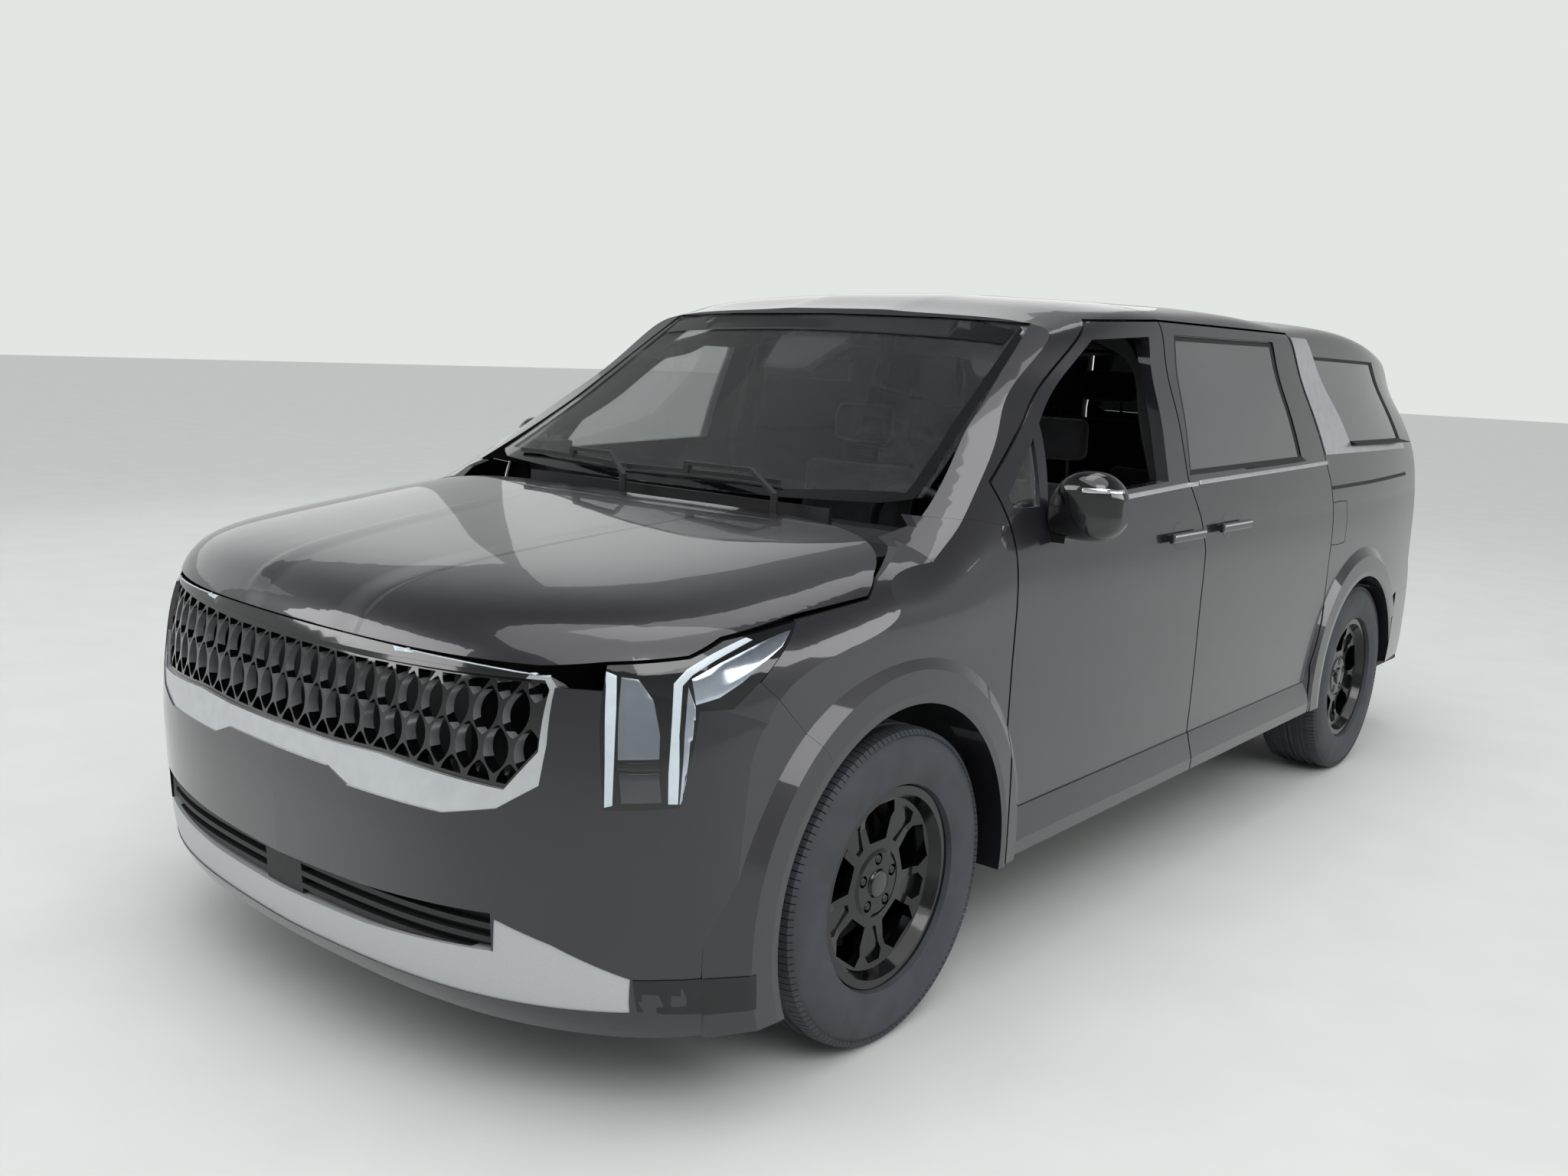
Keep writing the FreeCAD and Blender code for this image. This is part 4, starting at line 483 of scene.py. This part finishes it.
# Black ceramic bands round the windscreen, and the sensor housing and the mirror behind it
ceramic = {"names": "windscreen", "finish": gloss_black, "thick": 0.6, "stand": 0.1, "soften": 0}
strip("windscreen_band",
      [(-640, -735, 1628), (-320, -700, 1650), (0, -690, 1658), (320, -700, 1650), (640, -735, 1628)],
      [(-640, -790, 1588), (-320, -806, 1598), (0, -810, 1602), (320, -806, 1598), (640, -790, 1588)],
      steps=60, **ceramic)
strip("windscreen_foot_band",
      [(-768, -1385, 1207), (-400, -1480, 1180), (0, -1500, 1178), (400, -1480, 1180), (768, -1385, 1207)],
      [(-756, -1350, 1238), (-400, -1430, 1214), (0, -1452, 1212), (400, -1430, 1214), (756, -1350, 1238)],
      steps=60, **ceramic)
piece = strip("windscreen_side_band_left", [(773, -1385, 1208), (722, -1090, 1420), (670, -690, 1630)],
              [(747, -1400, 1210), (696, -1105, 1420), (644, -710, 1628)], steps=40, **ceramic)
mirrored(piece, "windscreen_side_band_right")
strip("sensor_housing", [(-135, -778, 1560), (0, -778, 1563), (135, -778, 1560)],
      [(-78, -928, 1462), (0, -932, 1459), (78, -928, 1462)], None, dash_skin, 34.0, steps=20, rows=12, soften=8)
strip("inner_mirror", [(-125, -760, 1520), (0, -760, 1526), (125, -760, 1520)],
      [(-118, -752, 1462), (0, -752, 1456), (118, -752, 1462)], None, dash_skin, 24.0, steps=20, rows=6, soften=7)

# Seam across the roof rail over the middle pillar
piece = strip("roof_seam_left", [(652, -209, 1725), (720, -209, 1708), (800, -209, 1664)],
              [(652, -204, 1725), (720, -204, 1708), (800, -204, 1664)], "body_sides", seal, 0.4, rows=1, soften=0)
mirrored(piece, "roof_seam_right")

# Day light strips in the black band over the grille
piece = strip("light_strip_left", [(336, -2511, 939), (440, -2488, 942), (560, -2455, 945), (700, -2396, 949)],
              [(350, -2508, 922), (440, -2488, 925), (560, -2455, 929), (700, -2398, 935)],
              "light_bar headlamps", guide, 3.0, steps=40)
mirrored(piece, "light_strip_right")

# Satin line along the feet of the side windows, which rides on each door
belt_height = 13
front_line = [(940, -1000, 1176), (940, -700, 1186), (940, -400, 1196), (940, -116, 1206)]
slide_line = [(940, -96, 1207), (940, 300, 1214), (940, 700, 1221), (940, 1040, 1228)]
piece = strip("belt_trim_front_left", front_line, lowered(front_line, belt_height), "front_door_left", satin, 3.5,
              steps=40, along_x=True, body="front_door_left")
mirrored(piece, "belt_trim_front_right", "front_door_right")
piece = strip("belt_trim_rear_left", slide_line, lowered(slide_line, belt_height), "sliding_doors body_sides", satin,
              3.5, steps=60, along_x=True)
mirrored(piece, "belt_trim_rear_right")

# Door handles: bright upper edge, and a finger cup over and under the bar, drawn as a dark sheet that paints its shade
handle_half, bright_top, bright_height = 108, 11, 6
cup_half, cup_rise, cup_start, cup_foot = 58, 25, 17, 16
half_turn = [(math.sin(a / 8 * math.pi - math.pi / 2), math.cos(a / 8 * math.pi - math.pi / 2)) for a in range(9)]
for tag, middle, level, names, body, right_body in (
        ("front", -253.5, 1056, "front_door_left", "front_door_left", "front_door_right"),
        ("rear", 100.5, 1062, "sliding_doors", "body", "body")):
    top = [(994, middle + along, level + bright_top) for along in (-handle_half, 0, handle_half)]
    piece = strip("handle_bright_" + tag + "_left", top, lowered(top, bright_height), names, chrome, 2.5, body=body)
    mirrored(piece, "handle_bright_" + tag + "_right", right_body)
    for cup, side in (("over", 1), ("under", -1)):
        curve = [(970, middle + cup_half * s, level + side * cup_start + side * cup_rise * c) for s, c in half_turn]
        flat = [(970, y, level + side * cup_foot) for _, y, _ in curve]
        cup_name = "handle_cup_" + cup + "_" + tag
        piece = strip(cup_name + "_left", curve, flat, names, cup_shade, 0.8, soften=0, along_x=True, body=body)
        mirrored(piece, cup_name + "_right", right_body)

# Guide rail of the sliding door: black slot behind the door, in the quarter panel
slot_height = 13
rail = [(952, 1062, 1137), (935, 1500, 1140), (920, 2040, 1149)]
piece = strip("rail_slot_left", rail, lowered(rail, slot_height), "body_sides", seal, 1.2, steps=40, soften=0.3,
              along_x=True)
mirrored(piece, "rail_slot_right")

# Fuel flap: its gap is a dark ring on the left quarter panel
flap_y, flap_z, flap_inside = 1128, 1000, 0.955
corners = [(-78, -78), (0, -82), (78, -78), (84, 0), (78, 78), (0, 82), (-78, 78), (-84, 0), (-78, -78)]
outer_ring, inner_ring = [[(960, flap_y + y * share, flap_z + z * share) for y, z in corners]
                          for share in (1, flap_inside)]
strip("fuel_flap_gap", outer_ring, inner_ring, "body_sides", seal, 0.5, steps=96, soften=0, along_x=True)

# Window seals: black profile round each side glass, 11 to 23 mm wide, drawn in towards its middle
seal_y, seal_z = 0.045, 0.07
windows = {
    "sliding": ([(-150, 1224), (-99, 1630), (697, 1634), (793, 1236), (-150, 1224)],
                "sliding_doors side_glass body_sides"),
    "quarter": ([(1072, 1598), (1336, 1279), (2040, 1276), (1850, 1593), (1072, 1598)], "body_sides side_glass"),
}
for tag, (outline, names) in windows.items():
    middle_y = sum(point[0] for point in outline[:-1]) / 4
    middle_z = sum(point[1] for point in outline[:-1]) / 4
    outside = [(940, y, z) for y, z in outline]
    inside = [(940, y + (middle_y - y) * seal_y, z + (middle_z - z) * seal_z) for y, z in outline]
    piece = strip("window_seal_" + tag + "_left", outside, inside, names, seal, 1.5, steps=80, rows=1, soften=0.3,
                  along_x=True)
    mirrored(piece, "window_seal_" + tag + "_right")

# The upper edge of the grille surround is gloss black, its sides and foot are satin
surround_mesh = nodes["grille_surround"].data
surround_mesh.materials.append(gloss_black)
for face in surround_mesh.polygons:
    if face.center.z > 0.893 and abs(face.center.x) < 0.66:
        face.material_index = 1

# Grille lattice: the side walls of the leaf openings are satin, but only in the three upper rows; the lower rows are
# left black as painted shade
leaf_top, leaf_pitch = 0.916, 0.070
grille_mesh = nodes["grille"].data
grille_mesh.materials.append(satin)
for face in grille_mesh.polygons:
    row = round((leaf_top - face.center.z) / leaf_pitch)
    rise = face.center.z - (leaf_top - leaf_pitch * row)
    side_wall = abs(face.normal.y) < 0.4 and abs(face.normal.x) > 0.3
    if side_wall and row <= 2 and -0.02 < rise < 0.042:
        face.material_index = 1

# Inner sides of the painted panels, above the sill: door cards, side linings and the headliner
sill_z = 0.42
for names, lining, axis, towards in (("front_door_left sliding_doors body_sides", door_card, 0, 1),
                                     ("front_door_right sliding_doors body_sides", door_card, 0, -1),
                                     ("roof_panel", headliner, 2, 1), ("hatch", door_card, 1, 1)):
    for name in names.split():
        held = nodes[name].data
        if lining.name not in held.materials:
            held.materials.append(lining)
        index = held.materials.find(lining.name)
        for face in held.polygons:
            faces_in = face.normal[axis] * towards < -0.35
            this_side = axis != 0 or face.center.x * towards > 0
            if faces_in and this_side and face.center.z > sill_z:
                face.material_index = index

# Wheels: five nuts in the hub and a bare cap on each rim; one tyre with cut tread, copied four times


def spun_piece(profile, steps):
    """A profile of (x, radius) pairs in millimetres turned about the wheel's axis."""
    bpy.ops.mesh.primitive_grid_add(x_subdivisions=len(profile) - 1, y_subdivisions=1, size=2.0)
    piece = bpy.context.object
    for vertex in piece.data.vertices:
        place = round((vertex.co.x + 1) / 2 * (len(profile) - 1))
        vertex.co = Vector((profile[place][0], 0, profile[place][1])) * mm
    bpy.ops.object.mode_set(mode="EDIT")
    bpy.ops.mesh.select_all(action="SELECT")
    bpy.ops.mesh.remove_doubles(threshold=0.00001)
    bpy.ops.mesh.delete(type="ONLY_FACE")
    bpy.ops.mesh.select_all(action="SELECT")
    bpy.ops.mesh.spin(steps=steps, angle=math.tau, center=(0, 0, 0), axis=(1, 0, 0))
    bpy.ops.mesh.select_all(action="SELECT")
    bpy.ops.mesh.remove_doubles(threshold=0.00002)
    bpy.ops.mesh.normals_make_consistent(inside=False)
    bpy.ops.object.mode_set(mode="OBJECT")
    bpy.ops.object.shade_smooth_by_angle(angle=0.6)
    return piece


def tyre():
    """One pitch of carcass and tread, its blocks drawn up from the grooves, repeated round the axis.

    The profile is the section from bead to bead in millimetres; the blocks are told by the numbers of its points.
    """
    profile = [(-86, 232), (-108, 238), (-116, 262), (-117.4, 298), (-116, 318), (-110.6, 334), (-104, 346),
               (-97.5, 354.6), (-84, 357.2), (-75, 358), (-71, 358), (-42, 358), (-34, 358), (-14, 358), (-4, 358),
               (4, 358), (14, 358), (34, 358), (42, 358), (71, 358), (75, 358), (84, 357.2), (97.5, 354.6),
               (104, 346), (110.6, 334), (116, 318), (117.4, 298), (116, 262), (108, 238), (86, 232)]
    grooves, outer_ribs = {10, 12, 14, 16, 18}, {9, 10, 18, 19}
    pitches, tread_depth, sidewall_top = 68, 0.0065, 0.333
    pitch = math.tau / pitches
    cuts = (0.0, 0.44, 0.5, 0.93, 1.0)
    bpy.ops.mesh.primitive_grid_add(x_subdivisions=len(profile) - 1, y_subdivisions=len(cuts) - 1, size=2.0)
    piece = bpy.context.object
    for vertex in piece.data.vertices:
        across = round((vertex.co.x + 1) / 2 * (len(profile) - 1))
        turn = cuts[round((vertex.co.y + 1) / 2 * (len(cuts) - 1))] * pitch
        wide, radius = profile[across]
        vertex.co = Vector((wide, radius * math.sin(turn), radius * math.cos(turn))) * mm
    piece.data.update()
    if sum(face.normal.dot(face.center) for face in piece.data.polygons) < 0:
        piece.data.flip_normals()

    def is_block(face):
        if face.center.yz.length < sidewall_top:
            return False
        across = max(index for index in range(5, 25) if profile[index][0] * mm <= face.center.x)
        share = math.atan2(face.center.y, face.center.z) / pitch
        shoulder = across <= 8 or across >= 20
        short_cut = cuts[1] < share < cuts[2] and shoulder
        long_cut = share > cuts[3] and (shoulder or across in outer_ribs)
        return 6 <= across <= 22 and across not in grooves and not (short_cut or long_cut)

    faces_chosen(piece, is_block)
    bpy.ops.mesh.extrude_region_shrink_fatten(TRANSFORM_OT_shrink_fatten={"value": tread_depth})
    bpy.ops.object.mode_set(mode="OBJECT")
    bpy.ops.object.mode_set(mode="EDIT")
    bpy.ops.mesh.select_all(action="SELECT")
    bpy.ops.mesh.spin(steps=pitches - 1, dupli=True, angle=math.tau * (pitches - 1) / pitches, center=(0, 0, 0),
                      axis=(1, 0, 0))
    bpy.ops.mesh.select_all(action="SELECT")
    bpy.ops.mesh.remove_doubles(threshold=0.00004)
    bpy.ops.mesh.normals_make_consistent(inside=False)
    bpy.ops.object.mode_set(mode="OBJECT")
    bpy.ops.object.shade_smooth_by_angle(angle=0.55)
    return piece


first_tyre = tyre()
for tag, hand, y in wheels:
    piece = first_tyre.copy()
    piece.data = first_tyre.data.copy()
    scene.collection.objects.link(piece)
    piece.data.transform(Matrix.Translation((hub_x * hand, y, hub_z)))
    finished(piece, "tyre_tread_" + tag, rubber, "wheel_" + tag)
    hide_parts("tyre_" + tag)
bpy.data.objects.remove(first_tyre)

nut_shape = [(0, 0), (0, 10.5), (15, 10.5), (17, 8.5), (17.5, 6), (17.5, 0)]
cap_shape = [(0, 0), (0, 30), (1.5, 30.6), (3, 29), (4, 24), (4.6, 10), (4.8, 0)]
nut_count, nut_circle, nut_sunk = 5, 0.057, 0.0003
outside_x, cap_x = 1.2, 0.9297


def reach(names, start, towards):
    """The first point of the CAD surface on a line, in metres."""
    hit, point, _, _ = cast_of(names).ray_cast(Vector(start), Vector(towards))
    return point if hit else Vector(start)


def seated(piece, hand, place):
    """A spun piece turned to face outwards on its side of the car, and put in its place."""
    if hand < 0:
        piece.data.transform(Matrix.Rotation(math.pi, 4, "Z"))
    piece.data.transform(Matrix.Translation(place))
    return piece


for tag, hand, y in wheels:
    for turn in range(nut_count):
        angle = math.tau * turn / nut_count + math.pi / 2
        start = (outside_x * hand, y + nut_circle * math.cos(angle), hub_z + nut_circle * math.sin(angle))
        place = reach("rim_" + tag, start, (-hand, 0, 0)) - Vector((nut_sunk * hand, 0, 0))
        nut = seated(spun_piece(nut_shape, 6), hand, place)
        finished(nut, "wheel_nut_%s_%d" % (tag, turn + 1), nut_steel, "wheel_" + tag)
    cap = seated(spun_piece(cap_shape, 40), hand, (cap_x * hand, y, hub_z))
    finished(cap, "wheel_cap_" + tag, cap_black, "wheel_" + tag)

# Seats: foam pads under cloth, blown up so that the faces crown and the corners pull in


def foam(profile, half, swell, voxel=0.016):
    """A profile of (y, z) pairs in millimetres drawn across the seat, remeshed and puffed up.

    half is half its width in millimetres; swell, the most that a point may move, and voxel are in metres.
    """
    bpy.ops.object.select_all(action="DESELECT")
    bpy.ops.mesh.primitive_circle_add(vertices=len(profile), fill_type="NGON", radius=1)
    piece = bpy.context.object
    for vertex, (y, z) in zip(piece.data.vertices, profile):
        vertex.co = Vector((-half, y, z)) * mm
    bpy.ops.object.mode_set(mode="EDIT")
    bpy.ops.mesh.select_all(action="SELECT")
    bpy.ops.mesh.extrude_region_move(TRANSFORM_OT_translate={"value": (2 * half * mm, 0, 0)})
    bpy.ops.mesh.select_all(action="SELECT")
    bpy.ops.mesh.normals_make_consistent(inside=False)
    bpy.ops.object.mode_set(mode="OBJECT")
    modified(piece, "BEVEL", width=0.028, segments=3, limit_method="ANGLE", angle_limit=0.5)
    piece.data.remesh_voxel_size = voxel
    bpy.ops.object.voxel_remesh()
    rest = [vertex.co.copy() for vertex in piece.data.vertices]
    cover = piece.modifiers.new("Cloth", "CLOTH")
    cover.settings.use_pressure = True
    cover.settings.uniform_pressure_force = 4.0
    cover.settings.effector_weights.gravity = 0.0
    for frame_number in range(1, 21):
        scene.frame_set(frame_number)
    blown = piece.evaluated_get(bpy.context.evaluated_depsgraph_get()).data
    moved = [vertex.co.copy() for vertex in blown.vertices]
    piece.modifiers.remove(cover)
    scene.frame_set(1)
    for vertex, start, end in zip(piece.data.vertices, rest, moved):
        shift = end - start
        vertex.co = start + shift * min(1.0, swell / max(shift.length, 1e-9))
    modified(piece, "SMOOTH", factor=0.5, iterations=2)
    modified(piece, "SUBSURF", levels=1, render_levels=1)
    bpy.ops.object.shade_smooth()
    return piece


def seam(name, run, pad):
    """Piping 5 mm wide along a line of points, laid on the pad."""
    strip(name, run, [(x + 5, y, z) for x, y, z in run], pad, piping, 2.0, 0.0, steps=20, rows=1, soften=0.5)


def seat(tag, middle, half, front, base, plinth_width, node):
    """One seat at its place in the cabin: squab, back and head pad, their seams, the posts and the plinth."""
    for kind, pad in pads.items():
        piece = pad.copy()
        piece.data = pad.data.copy()
        scene.collection.objects.link(piece)
        wide = (half - pad_margin) / pad_half
        piece.data.transform(Matrix.Translation((middle * mm, front * mm, base * mm)) @
                             Matrix.Scale(wide, 4, (1, 0, 0)))
        finished(piece, "seat_" + kind + "_" + tag, cloth)
        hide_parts(node)
        if kind == "squab":
            for number, side in enumerate((-0.62, 0.62)):
                seam("seat_seam_%s_%d" % (tag, number),
                     [(middle + side * half, front + along, base + 150 - along * 0.05)
                      for along in (30, 120, 220, 330, 410)], piece)
        if kind == "back":
            for number, side in enumerate((-0.6, 0.6)):
                seam("seat_back_seam_%s_%d" % (tag, number),
                     [(middle + side * half, front + 440 + rise * 0.19, base + 120 + rise)
                      for rise in (40, 180, 320, 460, 540)], piece)
    for side in (-60, 60):
        bpy.ops.mesh.primitive_cylinder_add(vertices=20, radius=0.006, depth=0.09, location=(
            (middle + side) * mm, (front + 622) * mm, (base + 735) * mm))
        post = rounded(bpy.context.object, 0.001)
        finished(post, "head_pad_post_%s_%d" % (tag, side), black_trim)
        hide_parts(node)
    bpy.ops.mesh.primitive_cube_add(size=1, location=(middle * mm, (front + 260) * mm, (base - 70) * mm))
    plinth = bpy.context.object
    plinth.scale = (plinth_width, 0.44, 0.19)
    bpy.ops.object.transform_apply(location=True, rotation=True, scale=True)
    faces_chosen(plinth, lambda face: abs(face.normal.z) < 0.5)
    bpy.ops.mesh.inset(thickness=0.03, depth=-0.008, use_individual=True)
    bpy.ops.object.mode_set(mode="OBJECT")
    rounded(plinth, 0.008, 3)
    finished(plinth, "seat_plinth_" + tag, dash_skin)
    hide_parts(node)


pad_half, pad_margin = 240.0, 22
pads = {
    "squab": foam([(4, 20), (0, 96), (46, 130), (424, 100), (500, 30), (500, 20)], pad_half, 0.022),
    "back": foam([(448, 90), (566, 690), (602, 708), (668, 680), (568, 80)], pad_half, 0.022),
    "head_pad": foam([(585, 760), (580, 850), (604, 896), (654, 896), (660, 760)], 120, 0.016, 0.011),
}
for row, middle, half, front, base, plinth_width in (("front", 385, 262, -627.5, 465.7, 0.42),
                                                     ("second", 385, 262, 294.5, 465.7, 0.42),
                                                     ("third", 300, 295, 1117.5, 615.7, 0.5)):
    for hand, side in ((1, "_left"), (-1, "_right")):
        seat(row + side, middle * hand, half, front, base, plinth_width, row + "_seats")
for pad in pads.values():
    bpy.data.objects.remove(pad)

# Door mirrors: chrome line along the shell, and the glass in its back
line = [(1124, -968, 1243), (1118, -1000, 1242), (1092, -1027, 1241), (1062, -1040, 1240), (1045, -1043, 1240)]
piece = strip("mirror_bright_left", line, lowered(line, 11), "mirror_left", chrome, 2.0, steps=40,
              body="front_door_left")
mirrored(piece, "mirror_bright_right", "front_door_right")
upper = [(962, -946, 1190), (972, -946, 1240), (1035, -946, 1252), (1095, -946, 1240), (1106, -946, 1190)]
lower = [(962, -946, 1190), (972, -946, 1142), (1035, -946, 1130), (1095, -946, 1142), (1106, -946, 1190)]
piece = strip("mirror_glass_left", upper, lower, "mirror_left", mirror_silver, 1.5, steps=32, rows=4, soften=0.4,
              body="front_door_left")
mirrored(piece, "mirror_glass_right", "front_door_right")

for cast in casts.values():
    bpy.data.objects.remove(cast)

# Camera at the photograph's place

scene.camera = bpy.data.objects.new("camera", bpy.data.cameras.new("camera"))
scene.collection.objects.link(scene.camera)
camera_place = (2.612095, -4.062887, 1.534982)
yaw, pitch, roll = math.radians(39.51178), math.radians(9.75493), math.radians(2.48440)
film_width, focal_length = 36.0, 31.577
ahead = Vector((-math.sin(yaw) * math.cos(pitch), math.cos(yaw) * math.cos(pitch), -math.sin(pitch)))
level = ahead.cross(Vector((0, 0, 1))).normalized()
upright = level.cross(ahead)
right = math.cos(roll) * level + math.sin(roll) * upright
up = -math.sin(roll) * level + math.cos(roll) * upright
scene.camera.matrix_world = Matrix.Translation(camera_place) @ Matrix((right, up, -ahead)).transposed().to_4x4()
scene.camera.data.sensor_width = film_width
scene.camera.data.sensor_fit = "HORIZONTAL"
scene.camera.data.lens = focal_length
scene.camera.data.clip_end = 200

# Floor, world and lamps

floor_paint, tree, shader = material("pale_sealed_floor", "#C9CCCA", 0.55)
mottle(tree, shader, "#C4C7C5", "#CFD2D0", 3.0, 4.0)
grain(tree, shader, 60.0, 0.0005, 0.2)
bpy.ops.mesh.primitive_grid_add(x_subdivisions=4, y_subdivisions=4, size=120, location=(0, 0, 0))
floor = bpy.context.object
floor.name = "floor"
floor.data.materials.append(floor_paint)

world = bpy.data.worlds.new("studio")
scene.world = world
world.use_nodes = True
tree = world.node_tree
tree.nodes.clear()
light_path = add(tree, "ShaderNodeLightPath")
sky = add(tree, "ShaderNodeTexCoord")
height = add(tree, "ShaderNodeSeparateXYZ", {}, {0: sky.outputs["Generated"]})
lift = add(tree, "ShaderNodeMapRange", {"From Min": -0.1, "From Max": 0.9}, {"Value": height.outputs["Z"]})
tone = add(tree, "ShaderNodeMix", {6: linear("#E2E5E2"), 7: linear("#63666A")}, {0: lift.outputs["Result"]},
           data_type="RGBA")
ambient = add(tree, "ShaderNodeBackground", {"Strength": 0.8}, {"Color": tone.outputs[2]})
backdrop = add(tree, "ShaderNodeBackground", {"Color": linear("#E3E7E4"), "Strength": 1.0})
shown = add(tree, "ShaderNodeMixShader", {}, {0: light_path.outputs["Is Camera Ray"], 1: ambient.outputs[0],
                                              2: backdrop.outputs[0]})
add(tree, "ShaderNodeOutputWorld", {}, {"Surface": shown.outputs[0]})


def lamp(name, place, aim, size, power):
    """A rectangular soft lamp in the studio, pointed at a place; power in watts."""
    light = bpy.data.lights.new(name, "AREA")
    light.shape = "RECTANGLE"
    light.size, light.size_y = size
    light.energy = power
    held = bpy.data.objects.new(name, light)
    scene.collection.objects.link(held)
    turned = (Vector(aim) - Vector(place)).to_track_quat("-Z", "Y").to_matrix().to_4x4()
    held.matrix_world = Matrix.Translation(place) @ turned


lamp("key_softbox", (5.5, -4.5, 5.6), (0, -0.6, 0.8), (5.0, 3.0), 170)
lamp("side_softbox", (8.5, 2.5, 3.4), (0, 0.4, 0.8), (8.0, 1.8), 170)
lamp("front_softbox", (-5.0, -7.5, 4.0), (0, -1.2, 0.8), (5.0, 2.2), 130)
lamp("overhead", (0, 0.5, 7.0), (0, 0.4, 0), (2.4, 8.0), 90)
lamp("rear_softbox", (-5.5, 6.5, 4.5), (0, 1.4, 0.8), (7.0, 4.0), 45)
lamp("far_side_softbox", (-8.5, -0.5, 3.6), (0, 0, 0.8), (9.0, 3.0), 40)
even = bpy.data.lights.new("even_daylight", "SUN")
even.energy = 2.3
even.angle = 1.4
daylight = bpy.data.objects.new("even_daylight", even)
scene.collection.objects.link(daylight)
daylight.rotation_euler = (0.25, 0.2, 0)
